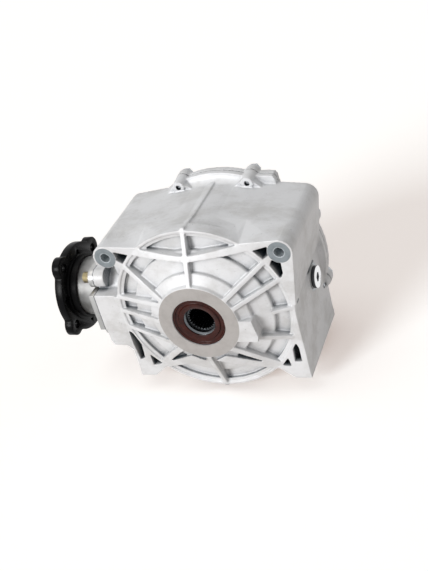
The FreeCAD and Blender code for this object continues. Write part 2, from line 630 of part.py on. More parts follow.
def side_cover():
    y0 = JOINT_Y + GASKET_T
    y1 = y0 + COVER_FLANGE_T
    top = COVER_HUB_Y
    shell = turned_y([(0, y0), (FLANGE_R, y0), (FLANGE_R, y1), (DRUM_R, y1), (DRUM_R - 4, y1 + 3),
                      (STEP_2_R, y1 + 7), (STEP_2_R - 2, y1 + 10), (STEP_1_R + 2, y1 + 13), (STEP_1_R, top - 5),
                      (HUB_R, top), (0, top)])
    envelope = turned_y([(0, y0), (RIM_R, y0), (RIM_R, y1 + 4), (HUB_R, top - 0.8), (0, top - 0.8)])
    ribs = [prism_y(strip((0, 0), end, RIB_W), y0, top) for end in around_y(12, RIM_R, 15)]
    ribs = fused(ribs).common(envelope)
    bosses = joint_holes(JOINT_BOSS_R, y0, y1 + 3)
    body = fused([shell, ribs, flange_lug(y0, y1)] + bosses)
    inner_y = y1 + 1
    chamber = turned_y([(0, y0 - 1), (CHAMBER_R, y0 - 1), (CHAMBER_R, inner_y), (STEP_2_R - 4, inner_y + 2),
                        (STEP_1_R, inner_y + 6), (STEP_1_R - 4, y0 + 2), (0, y0 + 2)])
    bearing_y = COVER_HUB_Y - CARRIER_BRG_Y
    cuts = [chamber,
            rod_y(CARRIER_BRG_OD_R + 0.02, y0 - 1, bearing_y),
            rod_y(CARRIER_BRG_OD_R - 8, y0 - 1, top - 5),
            rod_y(SEAL_R, top - SEAL_RECESS - SEAL_W, top + 1),
            rod_y(SEAL_R - 3, y0 - 1, top + 1)]
    cuts += joint_holes(M8_R + HOLE_GAP, y0 - 1, y1 + 5)
    cuts += [rod_y(DOWEL_R, y0 - 1, y0 + 5.5, x, z) for x, z in dowel_places()]
    for cut in cuts:
        body = body.cut(cut)
    return body.removeSplitter()


def cover_gasket():
    y0, y1 = JOINT_Y, JOINT_Y + GASKET_T
    plate = fused([rod_y(FLANGE_R - 0.4, y0, y1)] + joint_holes(JOINT_BOSS_R - 0.4, y0, y1))
    holes = [rod_y(CHAMBER_R, y0 - 1, y1 + 1)] + joint_holes(M8_R + 0.3, y0 - 1, y1 + 1)
    holes += [rod_y(DOWEL_R + 0.3, y0 - 1, y1 + 1, x, z) for x, z in dowel_places()]
    for hole in holes:
        plate = plate.cut(hole)
    return plate


def hex_prism(radius, length, place, axis):
    """Hexagon head; radius is across the flats, halved."""
    corner = radius / math.cos(math.radians(30))
    points = [V(corner * math.cos(math.radians(60 * k)), corner * math.sin(math.radians(60 * k)), 0)
              for k in range(6)]
    head = Part.Face(Part.makePolygon(points + points[:1])).extrude(V(0, 0, length))
    head.Placement = FreeCAD.Placement(place, FreeCAD.Rotation(V(0, 0, 1), axis))
    return head


def flanged_bolt(radius, grip, head_place, axis):
    """Bolt with a washer face; the shank runs against the axis."""
    shank = Part.makeCylinder(radius, grip, head_place, axis * -1)
    collar = Part.makeCylinder(radius * 2.1, 1.2, head_place, axis)
    head = hex_prism(radius * 1.5, radius * 1.35, head_place + axis * 1.2, axis)
    return fused([shank, collar, head])


def joint_bolts():
    seat = JOINT_Y + GASKET_T + COVER_FLANGE_T + 3
    grip = seat - JOINT_Y + BOLT_GRIP_IN_CASE
    return [flanged_bolt(M8_R, grip, V(x, seat, z), V(0, 1, 0))
            for x, z in around_y(JOINT_BOLTS, JOINT_PCR, 22.5)]


def dowel_pins():
    y0 = JOINT_Y - 5.5
    return [rod_y(DOWEL_R - 0.01, y0, y0 + 11, x, z) for x, z in dowel_places()]


# Bearings

def bearing_rings(outer_r, inner_r):
    """Section radii: outer race inside, inner race outside, roller radius."""
    depth = outer_r - inner_r
    return outer_r - depth * 0.27, inner_r + depth * 0.27, depth * 0.23 - 0.06


def race_y(r_out, r_in, y0):
    return ring_y(r_out, r_in, y0, y0 + CARRIER_BRG_W)


def race_x(r_out, r_in, x0):
    return ring_x(r_out, r_in, x0, x0 + PINION_BRG_W)


def rollers_y(y0, count):
    outer_in, inner_out, radius = bearing_rings(CARRIER_BRG_OD_R, CARRIER_BRG_ID_R)
    pitch = (outer_in + inner_out) / 2
    return [rod_y(radius, y0 + 2, y0 + CARRIER_BRG_W - 2, x, z) for x, z in around_y(count, pitch, 0)]


def rollers_x(x0, count):
    outer_in, inner_out, radius = bearing_rings(PINION_BRG_OD_R, PINION_BRG_ID_R)
    pitch = (outer_in + inner_out) / 2
    return [rod_x(radius, x0 + 2, x0 + PINION_BRG_W - 2, y, z) for y, z in around_x(count, pitch, 0)]


CARRIER_BRG_STARTS = [CARRIER_BRG_Y, COVER_HUB_Y - CARRIER_BRG_Y - CARRIER_BRG_W]
PINION_BRG_STARTS = [-112.0, -152.0]


# Bevel gears

def involute_angle(cone, base):
    """Angle swept by a spherical involute from its base cone to this cone."""
    if cone <= base:
        return 0.0
    roll = math.acos(math.cos(cone) / math.cos(base)) / math.sin(base)
    return roll - math.acos(math.tan(base) / math.tan(cone))


def bevel_tooth(teeth, pitch, outer, face, addendum, dedendum, backlash):
    """One straight tooth about +X in a frame whose axis is +Z from the apex."""
    base = math.asin(math.sin(pitch) * math.cos(math.radians(PRESSURE_ANGLE)))
    tip = pitch + math.atan(addendum / outer)
    root = pitch - math.atan(dedendum / outer)
    half = math.pi / (2 * teeth) - backlash / (2 * outer * math.sin(pitch))
    sunk = root - math.atan(1.2 / outer)
    flank = []
    for cone in (sunk, max(base, root), (max(base, root) + pitch) / 2, pitch, (pitch + tip) / 2, tip):
        turn = half + involute_angle(pitch, base) - involute_angle(cone, base)
        flank.append((cone, max(turn, 0.004)))

    def section(distance):
        corners = []
        for cone, turn in flank + [(c, -t) for c, t in reversed(flank)]:
            ray = V(math.sin(cone) * math.cos(turn), math.sin(cone) * math.sin(turn), math.cos(cone))
            depth = ray.x * math.sin(pitch) + ray.z * math.cos(pitch)
            corners.append(ray * (distance / depth))
        return Part.makePolygon(corners + corners[:1])

    return Part.makeLoft([section(outer - face), section(outer)], True, True)


def bevel_teeth(teeth, tooth, first):
    """Ring of equal teeth about +Z, the first one at this angle."""
    ring = []
    for k in range(teeth):
        copy = tooth.copy()
        copy.rotate(V(0, 0, 0), V(0, 0, 1), math.degrees(first) + 360.0 / teeth * k)
        ring.append(copy)
    return ring


def root_cone(pitch, outer, face, dedendum, back, bore):
    """Gear blank below the teeth, in the frame of the tooth."""
    root = pitch - math.atan(dedendum / outer)
    near = (outer - face - BLANK_PAST) / math.cos(pitch - root)
    far = (outer + BLANK_PAST) / math.cos(pitch - root)
    points = [(bore, near * math.cos(root)), (near * math.sin(root), near * math.cos(root)),
              (far * math.sin(root), far * math.cos(root)), (far * math.sin(root), back), (bore, back)]
    corners = [V(r, 0, z) for r, z in points]
    return Part.Face(Part.makePolygon(corners + corners[:1])).revolve(V(0, 0, 0), V(0, 0, 1), 360)


def place(shape, apex, axis, toward):
    """Turn a gear from its own frame: +Z to the axis, +X to toward."""
    third = axis.cross(toward)
    matrix = FreeCAD.Matrix(toward.x, third.x, axis.x, apex.x,
                            toward.y, third.y, axis.y, apex.y,
                            toward.z, third.z, axis.z, apex.z, 0, 0, 0, 1)
    return shape.transformed(matrix)


RING_CONE = math.atan(RING_TEETH / PINION_TEETH)
PINION_CONE = math.pi / 2 - RING_CONE
FINAL_OUTER = RING_PITCH_R / math.sin(RING_CONE)
FINAL_MODULE = 2 * RING_PITCH_R / RING_TEETH
SIDE_CONE = math.atan(SIDE_TEETH / SPIDER_TEETH)
SPIDER_CONE = math.pi / 2 - SIDE_CONE
DIFF_OUTER = SIDE_PITCH_R / math.sin(SIDE_CONE)
DIFF_MODULE = 2 * SIDE_PITCH_R / SIDE_TEETH
APEX = V(0, PINION_Y, 0)
DIFF_APEX = V(0, DIFF_Y, 0)

RING_BACK = 37.0            # back of the ring gear, from the pinion axis
RING_BORE_R = 54.0
DIFF_FLANGE_T = 8.0
DIFF_FLANGE_R = 74.0
RING_BOLT_PCR = 64.0
RING_BOLTS = 8
RING_BOLT_R = 4.0
RING_BOLT_DEPTH = 8.0       # thread in the ring gear
SIDE_BACK = 24.0            # back of a side gear, from the middle
SPIDER_BACK = 30.0          # back of a spider gear, from the middle
WASHER_T = 1.0


def ring_gear():
    teeth = RING_TEETH
    ded = FINAL_MODULE * (FINAL_PINION_ADD + FINAL_CLEAR)
    tooth = bevel_tooth(teeth, RING_CONE, FINAL_OUTER, FINAL_FACE, FINAL_MODULE * FINAL_RING_ADD, ded,
                        FINAL_BACKLASH)
    blank = root_cone(RING_CONE, FINAL_OUTER, FINAL_FACE, ded, RING_BACK, RING_BORE_R)
    gear = fused([blank] + bevel_teeth(teeth, tooth, math.pi / teeth))
    gear = place(gear, APEX, V(0, 1, 0), V(-1, 0, 0))
    back = PINION_Y + RING_BACK
    for x, z in around_y(RING_BOLTS, RING_BOLT_PCR, 0):
        gear = gear.cut(rod_y(RING_BOLT_R + HOLE_GAP, back - RING_BOLT_DEPTH, back + 1, x, z))
    return gear


def pinion_gear():
    """Pinion head with its shaft, spline and thread, in one forging."""
    teeth = PINION_TEETH
    ded = FINAL_MODULE * (FINAL_RING_ADD + FINAL_CLEAR)
    tooth = bevel_tooth(teeth, PINION_CONE, FINAL_OUTER, FINAL_FACE, FINAL_MODULE * FINAL_PINION_ADD, ded,
                        FINAL_BACKLASH)
    blank = root_cone(PINION_CONE, FINAL_OUTER, FINAL_FACE, ded, FINAL_OUTER + 6, 0.0)
    head = fused([blank] + bevel_teeth(teeth, tooth, 0.0))
    head = place(head, APEX, V(-1, 0, 0), V(0, 1, 0))
    journal = PINION_BRG_ID_R - 0.01
    shoulder = PINION_BRG_STARTS[0] + PINION_BRG_W
    nut_seat = nut_seat_x()
    shaft = turned_x([(0, -FINAL_OUTER), (journal + 4, -FINAL_OUTER), (journal + 4, shoulder), (journal, shoulder),
                      (journal, PINION_BRG_STARTS[1]), (PINION_SPLINE_R, PINION_BRG_STARTS[1]),
                      (PINION_SPLINE_R, nut_seat + 1), (PINION_THREAD_R, nut_seat + 1),
                      (PINION_THREAD_R, nut_seat - NUT_WASHER_T - NUT_T - 2), (0, nut_seat - NUT_WASHER_T - NUT_T - 2)])
    return fused([head, shaft])


def splined_bore(y0, y1):
    """Internal spline cutter: a rod less its ring of straight teeth."""
    core = rod_y(SPLINE_ROOT_R, y0, y1)
    width = math.pi * (SPLINE_ROOT_R + SPLINE_TIP_R) / SPLINE_TEETH / 2
    tooth = prism_y([(-width * 0.62, SPLINE_ROOT_R + 0.5), (width * 0.62, SPLINE_ROOT_R + 0.5),
                     (width * 0.36, SPLINE_TIP_R), (-width * 0.36, SPLINE_TIP_R)], y0 - 1, y1 + 1)
    teeth = []
    for k in range(SPLINE_TEETH):
        copy = tooth.copy()
        copy.rotate(V(0, 0, 0), V(0, 1, 0), 360.0 / SPLINE_TEETH * k)
        teeth.append(copy)
    return core.cut(Part.makeCompound(teeth))


def side_gear(side):
    """Side gear with its long splined sleeve; side is -1 front, 1 rear."""
    ded = DIFF_MODULE * (DIFF_ADD + DIFF_CLEAR)
    tooth = bevel_tooth(SIDE_TEETH, SIDE_CONE, DIFF_OUTER, DIFF_FACE, DIFF_MODULE * DIFF_ADD, ded, DIFF_BACKLASH)
    blank = root_cone(SIDE_CONE, DIFF_OUTER, DIFF_FACE, ded, SIDE_BACK, 0.0)
    gear = fused([blank] + bevel_teeth(SIDE_TEETH, tooth, math.pi / SIDE_TEETH))
    gear = place(gear, DIFF_APEX, V(0, side, 0), V(0, 0, 1))
    end = SLEEVE_RECESS if side < 0 else COVER_HUB_Y - SLEEVE_RECESS
    back = DIFF_Y + side * (SIDE_BACK - 2)
    gear = fused([gear, rod_y(SLEEVE_R, *sorted((end, back)))])
    pilot_end = end - side * PILOT_L
    gear = gear.cut(splined_bore(*sorted((pilot_end, DIFF_Y + side * 5))))
    mouth = Part.makeCone(PILOT_R + SLEEVE_CHAMFER, PILOT_R, SLEEVE_CHAMFER, V(0, end, 0), V(0, -side, 0))
    return gear.cut(rod_y(PILOT_R, *sorted((end + side, pilot_end)))).cut(mouth)


def spider_gear(side):
    ded = DIFF_MODULE * (DIFF_ADD + DIFF_CLEAR)
    tooth = bevel_tooth(SPIDER_TEETH, SPIDER_CONE, DIFF_OUTER, DIFF_FACE, DIFF_MODULE * DIFF_ADD, ded,
                        DIFF_BACKLASH)
    blank = root_cone(SPIDER_CONE, DIFF_OUTER, DIFF_FACE, ded, SPIDER_BACK, 0.0)
    gear = fused([blank] + bevel_teeth(SPIDER_TEETH, tooth, 0.0))
    gear = place(gear, DIFF_APEX, V(0, 0, side), V(0, 1, 0))
    return gear.cut(rod_z(CROSS_PIN_R + RUN, -60, 60, 0, DIFF_Y))


def diff_case():
    flange_y = PINION_Y + RING_BACK
    front_brg = CARRIER_BRG_Y
    rear_brg = CARRIER_BRG_STARTS[1]
    journal = CARRIER_BRG_ID_R - 0.01
    front_step = front_brg + CARRIER_BRG_W
    body = turned_y([(0, front_brg), (journal, front_brg), (journal, front_step), (journal + 4, front_step),
                     (journal + 4, front_step + 8), (DIFF_CASE_R, DIFF_Y - 28), (DIFF_CASE_R, DIFF_Y + 30),
                     (RING_BORE_R - HOLE_GAP, DIFF_Y + 33), (RING_BORE_R - HOLE_GAP, flange_y),
                     (DIFF_FLANGE_R, flange_y), (DIFF_FLANGE_R, flange_y + DIFF_FLANGE_T),
                     (RING_BOLT_PCR - 12.0, flange_y + DIFF_FLANGE_T), (journal + 4, rear_brg - 6),
                     (journal + 4, rear_brg), (journal, rear_brg), (journal, rear_brg + CARRIER_BRG_W),
                     (0, rear_brg + CARRIER_BRG_W)])
    gap = SIDE_BACK + WASHER_T
    cavity = rod_y(34.0, DIFF_Y - gap, DIFF_Y + gap)
    flats = Part.makeBox(100, 100, 2 * (SPIDER_BACK + WASHER_T), V(-50, DIFF_Y - 50, -SPIDER_BACK - WASHER_T))
    window = Part.makeBox(120, 34, 40, V(-60, DIFF_Y - 17, -20))
    cuts = [cavity.common(flats), window,
            rod_y(SLEEVE_R + RUN, 0, COVER_HUB_Y),
            rod_z(CROSS_PIN_R, -60, 60, 0, DIFF_Y),
            rod_y(LOCK_PIN_R, DIFF_Y - 45, DIFF_Y + 13, 0, LOCK_PIN_Z)]
    cuts += [rod_y(RING_BOLT_R + HOLE_GAP, flange_y - 1, flange_y + DIFF_FLANGE_T + 1, x, z)
             for x, z in around_y(RING_BOLTS, RING_BOLT_PCR, 0)]
    for cut in cuts:
        body = body.cut(cut)
    return body


LOCK_PIN_R = 2.5
LOCK_PIN_Z = 38.5


def cross_pin():
    pin = rod_z(CROSS_PIN_R - 0.01, -DIFF_CASE_R + 1.5, DIFF_CASE_R - 1.5, 0, DIFF_Y)
    return pin.cut(rod_y(LOCK_PIN_R, DIFF_Y - 45, DIFF_Y + 45, 0, LOCK_PIN_Z))


def lock_pin():
    return rod_y(LOCK_PIN_R - 0.01, DIFF_Y - 26, DIFF_Y + 12, 0, LOCK_PIN_Z)


def side_washer(side):
    y = DIFF_Y + side * SIDE_BACK
    y0, y1 = sorted((y + side * 0.02, y + side * (WASHER_T - 0.02)))
    return ring_y(27.0, SLEEVE_R + 0.3, y0, y1)


def spider_washer(side):
    z = side * SPIDER_BACK
    z0, z1 = sorted((z + side * 0.02, z + side * (WASHER_T - 0.02)))
    return rod_z(13.0, z0, z1, 0, DIFF_Y).cut(rod_z(CROSS_PIN_R + 0.3, -60, 60, 0, DIFF_Y))


def ring_gear_bolts():
    seat = PINION_Y + RING_BACK + DIFF_FLANGE_T
    return [flanged_bolt(RING_BOLT_R, DIFF_FLANGE_T + RING_BOLT_DEPTH - 0.5, V(x, seat, z), V(0, 1, 0))
            for x, z in around_y(RING_BOLTS, RING_BOLT_PCR, 0)]


# Cartridge that carries the pinion

def cartridge():
    plate_x = SNOUT_END_X - SHIM_T - CART_FLANGE_T
    body = turned_x([(0, -96.0), (CART_BORE_R, -96.0), (CART_BORE_R, plate_x + 1), (NOSE_R, plate_x + 1),
                     (NOSE_R, NOSE_END_X), (0, NOSE_END_X)])
    body = fused([body, lobed_plate(plate_x, plate_x + CART_FLANGE_T, SNOUT_R)])
    near, far = PINION_BRG_STARTS
    cuts = [rod_x(PINION_BRG_OD_R, near, -90),
            rod_x(PINION_BRG_OD_R - 4, far, -90),
            rod_x(PINION_BRG_OD_R, far - 2, far + PINION_BRG_W),
            rod_x(PINION_SEAL_R, NOSE_END_X - 1, far)]
    cuts += [rod_x(M8_R + 0.3, plate_x - 1, plate_x + CART_FLANGE_T + 1, y, z)
             for y, z in around_x(4, CART_PCR, 45)]
    for cut in cuts:
        body = body.cut(cut)
    return body


def cartridge_shim():
    x1 = SNOUT_END_X
    plate = lobed_plate(x1 - SHIM_T, x1, SNOUT_R).cut(rod_x(CART_BORE_R + 0.1, x1 - 5, x1 + 5))
    for y, z in around_x(4, CART_PCR, 45):
        plate = plate.cut(rod_x(M8_R + 0.3, x1 - 5, x1 + 5, y, z))
    return plate


def cartridge_bolts():
    """Socket cap screws, each with a plain washer under its head."""
    seat = SNOUT_END_X - SHIM_T - CART_FLANGE_T
    head = seat - CAP_WASHER_T
    screws = []
    for y, z in around_x(4, CART_PCR, 45):
        socket = hex_prism(CAP_SOCKET_R, CAP_SOCKET_L, V(head - CAP_HEAD_T + CAP_SOCKET_L, y, z), V(-1, 0, 0))
        screw = fused([rod_x(M8_R, seat, seat + CAP_GRIP, y, z), rod_x(CAP_WASHER_R, head, seat, y, z),
                       rod_x(CAP_HEAD_R, head - CAP_HEAD_T, head, y, z)])
        screws.append(screw.cut(socket))
    return screws


def bearing_spacer():
    near, far = PINION_BRG_STARTS
    return ring_x(20.0, PINION_BRG_ID_R + 0.2, far + PINION_BRG_W, near)


def nut_seat_x():
    return FLANGE_IN_X - FLANGE_T + NUT_RECESS


def input_flange():
    """Four-lobed coupling flange with its hub on the pinion spline."""
    x1 = FLANGE_IN_X
    x0 = x1 - FLANGE_T
    lobes = [rod_x(LOBE_R, x0, x1, y, z) for y, z in around_x(4, LOBE_PCR, LOBE_ANGLE)]
    hub_end = PINION_BRG_STARTS[1] - 0.2
    plate = fused([rod_x(FLANGE_DISC_R, x0, x1)] + lobes)
    notches = [edge for edge in plate.Edges
               if edge.BoundBox.XLength > FLANGE_T - 0.1 and edge.BoundBox.YLength + edge.BoundBox.ZLength < 0.1]
    plate = plate.makeFillet(LOBE_FILLET, notches)
    shroud = ring_x(SHROUD_R, NOSE_R + SHROUD_GAP, x1, SHROUD_END_X)
    body = fused([plate, rod_x(RAISED_R, x1, x1 + RAISED_T), shroud, rod_x(FLANGE_HUB_R, x1 - 3, hub_end)])
    cuts = [rod_x(PINION_SPLINE_R + 0.02, x0 - 5, hub_end + 5), rod_x(24.0, x0 - 1, x0 + NUT_RECESS)]
    cuts += [rod_x(LOBE_HOLE_R, x0 - 1, x1 + 1, y, z) for y, z in around_x(4, LOBE_PCR, LOBE_ANGLE)]
    cuts += [rod_x(PULLER_R, x0 - 1, x1 + 4, y, z) for y, z in around_x(4, PULLER_PCR, LOBE_ANGLE + 45)]
    for cut in cuts:
        body = body.cut(cut)
    return body


def pinion_nut():
    x = nut_seat_x()
    washer = ring_x(19.0, PINION_THREAD_R + 0.2, x - NUT_WASHER_T, x)
    nut = hex_prism(15.0, NUT_T, V(x - NUT_WASHER_T, PINION_Y, 0), V(-1, 0, 0))
    return washer, nut.cut(rod_x(PINION_THREAD_R + HOLE_GAP, x - 40, x + 5))


def lip_seal_y(side):
    """Shaft seal: outer case, sloping lip; side is -1 front, 1 rear."""
    face = SEAL_RECESS if side < 0 else COVER_HUB_Y - SEAL_RECESS

    def deep(value):
        return face - side * value
    lip = SLEEVE_R + RUN
    return turned_y([(DUST_LIP_R, deep(1.0)), (lip + 3.2, deep(0)), (lip + 4.2, deep(1.6)), (SEAL_R - 3, deep(1.6)),
                     (SEAL_R - 2, deep(0)), (SEAL_R - 0.02, deep(0)), (SEAL_R - 0.02, deep(SEAL_W)),
                     (SEAL_R - 4, deep(SEAL_W)), (SEAL_R - 4, deep(3.2)), (lip + 2, deep(3.2)),
                     (lip + 1.5, deep(SEAL_W - 1)), (lip, deep(SEAL_W - 1)), (lip, deep(DUST_LIP_D)),
                     (DUST_LIP_R, deep(DUST_LIP_D))])


def pinion_seal():
    x0 = NOSE_END_X + 0.8
    x1 = x0 + 9.0
    lip = FLANGE_HUB_R + RUN
    return turned_x([(lip, x0), (PINION_SEAL_R - 0.02, x0), (PINION_SEAL_R - 0.02, x1), (PINION_SEAL_R - 2, x1),
                     (PINION_SEAL_R - 2, x0 + 2), (lip + 1.6, x0 + 2), (lip + 1.6, x1 - 1), (lip, x1 - 1)])


def fill_plug():
    seat = FILL_SEAT_X + PLUG_WASHER_T
    head = rod_x(FILL_R + PLUG_HEAD_EDGE, seat, seat + FILL_HEAD_T, FILL_Y, FILL_Z)
    thread = rod_x(FILL_R - HOLE_GAP, seat - PLUG_THREAD_L, seat, FILL_Y, FILL_Z)
    socket = hex_prism(FILL_SOCKET_R, SOCKET_PAST + FILL_HEAD_T + 1, V(seat - SOCKET_PAST, FILL_Y, FILL_Z), V(1, 0, 0))
    return fused([head, thread]).cut(socket)


def fill_washer():
    seat = FILL_SEAT_X
    washer = rod_x(FILL_R + PLUG_HEAD_EDGE + 0.8, seat, seat + PLUG_WASHER_T, FILL_Y, FILL_Z)
    return washer.cut(rod_x(FILL_R, seat - 1, seat + 3, FILL_Y, FILL_Z))


def drain_plug():
    seat = -DRUM_R - DRAIN_BOSS - PLUG_WASHER_T
    head = rod_z(DRAIN_R + PLUG_HEAD_EDGE, seat - PLUG_HEAD_T, seat, 0, DRAIN_Y)
    thread = rod_z(DRAIN_R - HOLE_GAP, seat, seat + PLUG_THREAD_L, 0, DRAIN_Y)
    socket = hex_prism(DRAIN_SOCKET_R, SOCKET_PAST + PLUG_HEAD_T + 1, V(0, DRAIN_Y, seat + SOCKET_PAST), V(0, 0, -1))
    return fused([head, thread]).cut(socket)


def drain_washer():
    seat = -DRUM_R - DRAIN_BOSS - PLUG_WASHER_T
    washer = rod_z(DRAIN_R + PLUG_HEAD_EDGE + 0.8, seat, seat + PLUG_WASHER_T, 0, DRAIN_Y)
    return washer.cut(rod_z(DRAIN_R, seat - 1, seat + 3, 0, DRAIN_Y))


def build():
    """All nodes by name; a list is a group of separate solids."""
    c_out, c_in, _ = bearing_rings(CARRIER_BRG_OD_R, CARRIER_BRG_ID_R)
    p_out, p_in, _ = bearing_rings(PINION_BRG_OD_R, PINION_BRG_ID_R)
    nut_washer, nut = pinion_nut()
    nodes = {
        "main_case": main_case(),
        "side_cover": side_cover(),
        "cover_gasket": cover_gasket(),
        "cover_bolts": joint_bolts(),
        "dowel_pins": dowel_pins(),
        "front_output_seal": lip_seal_y(-1),
        "rear_output_seal": lip_seal_y(1),
        "fill_plug": fill_plug(),
        "fill_plug_washer": fill_washer(),
        "drain_plug": drain_plug(),
        "drain_plug_washer": drain_washer(),
        "pinion_cartridge": cartridge(),
        "cartridge_shim": cartridge_shim(),
        "cartridge_bolts": cartridge_bolts(),
        "pinion_seal": pinion_seal(),
        "pinion_gear": pinion_gear(),
        "pinion_bearing_spacer": bearing_spacer(),
        "input_flange": input_flange(),
        "pinion_nut_washer": nut_washer,
        "pinion_nut": nut,
        "ring_gear": ring_gear(),
        "ring_gear_bolts": ring_gear_bolts(),
        "differential_case": diff_case(),
        "cross_pin": cross_pin(),
        "cross_pin_lock": lock_pin(),
        "front_side_gear": side_gear(-1),
        "rear_side_gear": side_gear(1),
        "upper_spider_gear": spider_gear(1),
        "lower_spider_gear": spider_gear(-1),
        "side_gear_washers": [side_washer(-1), side_washer(1)],
        "spider_gear_washers": [spider_washer(-1), spider_washer(1)],
    }
    for name, start in zip(("front", "rear"), CARRIER_BRG_STARTS):
        nodes[name + "_carrier_bearing_outer"] = race_y(CARRIER_BRG_OD_R, c_out, start)
        nodes[name + "_carrier_bearing_inner"] = race_y(c_in, CARRIER_BRG_ID_R, start)
        nodes[name + "_carrier_bearing_rollers"] = rollers_y(start, 14)
    for name, start in zip(("head", "nose"), PINION_BRG_STARTS):
        nodes[name + "_pinion_bearing_outer"] = race_x(PINION_BRG_OD_R, p_out, start)
        nodes[name + "_pinion_bearing_inner"] = race_x(p_in, PINION_BRG_ID_R, start)
        nodes[name + "_pinion_bearing_rollers"] = rollers_x(start, 12)
    return nodes


def main():
    os.makedirs("parts", exist_ok=True)
    for name, shape in build().items():
        if isinstance(shape, list):
            shape = Part.makeCompound(shape)
        shape.exportStep("parts/" + name + ".step")


main()
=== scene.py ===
"""Studio scene of a rear axle final drive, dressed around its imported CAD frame."""

import logging
import math
from dataclasses import dataclass, field
from enum import Enum
from typing import Any, Dict, List, Optional, Tuple, Union

import bpy
from mathutils import Matrix, Vector

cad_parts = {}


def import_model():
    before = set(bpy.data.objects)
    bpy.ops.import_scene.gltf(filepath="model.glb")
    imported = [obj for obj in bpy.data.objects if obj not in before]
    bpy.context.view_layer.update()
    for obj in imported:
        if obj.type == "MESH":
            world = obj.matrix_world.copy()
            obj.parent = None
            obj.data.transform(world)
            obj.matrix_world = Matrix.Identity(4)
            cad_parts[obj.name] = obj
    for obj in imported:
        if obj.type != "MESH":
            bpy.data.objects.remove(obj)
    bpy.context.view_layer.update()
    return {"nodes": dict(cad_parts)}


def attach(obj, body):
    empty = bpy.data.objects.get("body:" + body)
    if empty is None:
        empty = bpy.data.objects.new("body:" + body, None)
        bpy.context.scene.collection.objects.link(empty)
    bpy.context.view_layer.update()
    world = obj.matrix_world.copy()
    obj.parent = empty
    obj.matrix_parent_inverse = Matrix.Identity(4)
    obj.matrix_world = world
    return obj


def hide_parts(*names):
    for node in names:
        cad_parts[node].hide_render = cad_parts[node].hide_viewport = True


log = logging.getLogger("final_drive")

MM = 0.001

# Places and sizes of the case that its finishes follow, in millimetres
AXLE_MM = (0.0, 0.0, 0.0)
COVER_HUB_MM = (0.0, 176.0, 0.0)
PINION_MM = (0.0, 78.5, 0.0)
HUB_FACE_R = 45.6
BOSS_X, BOSS_Y, BOSS_Z = 99.8, 22.4, 72.7
BOSS_FACE_R = 12.4
BOSS_HOLE_R = 6.3
BOSS_HOLE_REACH = 130.0
PLUG_Y, PLUG_Z = 94.0, -6.0
PLUG_SEAT_X = 104.2
PLUG_SEAT_R = 15.2
PLUG_SIDE_X = 106.9
PLUG_PAST_R = 20.0

# How the node textures are read: spans of a noise or of an openness, and sizes
WAVE_LENGTH = 0.314
BLOTCH_SPAN = (0.40, 0.68)
SHEEN_SPAN = (0.3, 0.7)
SHEEN_SHARE = 0.45
PORE_MM = 2.2
PORE_SPAN = (0.20, 0.27)
CORNER_SHADE_SPAN = (0.25, 0.95)
PIT_SHADE_SPAN = (0.13, 0.46)

# How the CAD meshes are merged, flattened and shaded
MERGE_MM = 0.002
FLAT_DEG = 0.4
MACHINED_SMOOTH_DEG = 28.0
CAST_SMOOTH_DEG = 34.0

FILM_WIDTH_MM = 36.0
WHITE = (1.0, 1.0, 1.0, 1.0)

Colour = Tuple[float, float, float, float]
Triple = Tuple[float, float, float]
Pair = Tuple[float, float]
Tree = bpy.types.NodeTree
Node = bpy.types.Node
Socket = bpy.types.NodeSocket
Amount = Union[float, Socket]


class Body(Enum):
    """Bodies of the frame that carry a dressed piece."""

    HOUSING = "housing"
    PINION = "pinion"
    FRONT_OUTPUT = "front_output"
    REAR_OUTPUT = "rear_output"


class Axis(Enum):
    """Axes that faces are turned or milled about."""

    AXLE = "Y"
    PINION = "X"

    def index(self) -> int:
        """Place of the axis in a vector."""
        return "XYZ".index(self.value)


def linear(hex_colour: str) -> Colour:
    """Turn an sRGB hex colour into linear light.

    Args:
        hex_colour: colour such as "#C8C8C6".

    Returns:
        Linear red, green and blue, and an alpha of 1.
    """
    values = [int(hex_colour[i:i + 2], 16) / 255 for i in (1, 3, 5)]
    parts = [v / 12.92 if v <= 0.04045 else ((v + 0.055) / 1.055) ** 2.4 for v in values]
    return parts[0], parts[1], parts[2], 1.0


def add(tree: Tree, kind: str, settings: Optional[Dict[str, Any]] = None,
        inputs: Optional[Dict[Any, Any]] = None) -> Node:
    """Add a node to a tree.

    Args:
        tree: node tree that gets the node.
        kind: Blender's name of the node type.
        settings: properties of the node by name.
        inputs: a value or an output socket for each input, by name or number.

    Returns:
        The new node.
    """
    node = tree.nodes.new(kind)
    for key, value in (settings or {}).items():
        setattr(node, key, value)
    for key, value in (inputs or {}).items():
        if isinstance(value, bpy.types.NodeSocket):
            tree.links.new(value, node.inputs[key])
        else:
            node.inputs[key].default_value = value
    return node


def reckon(tree: Tree, operation: str, *values: Amount) -> Socket:
    """Work out a number in a material.

    Args:
        tree: node tree that gets the node.
        operation: Blender's name of the operation.
        values: what it works on, in order.

    Returns:
        Output socket with the result.
    """
    return add(tree, "ShaderNodeMath", {"operation": operation}, dict(enumerate(values))).outputs["Value"]


def ramp(tree: Tree, value: Socket, start: Pair, end: Pair, soft: bool = False) -> Socket:
    """Bring a number from one span into another, and hold it there.

    Args:
        tree: node tree that gets the node.
        value: the number.
        start: span that it is read over.
        end: span that it is brought into.
        soft: whether it eases in and out.

    Returns:
        Output socket with the result.
    """
    kind = "SMOOTHSTEP" if soft else "LINEAR"
    inputs = {"Value": value, "From Min": start[0], "From Max": start[1], "To Min": end[0], "To Max": end[1]}
    return add(tree, "ShaderNodeMapRange", {"interpolation_type": kind}, inputs).outputs["Result"]


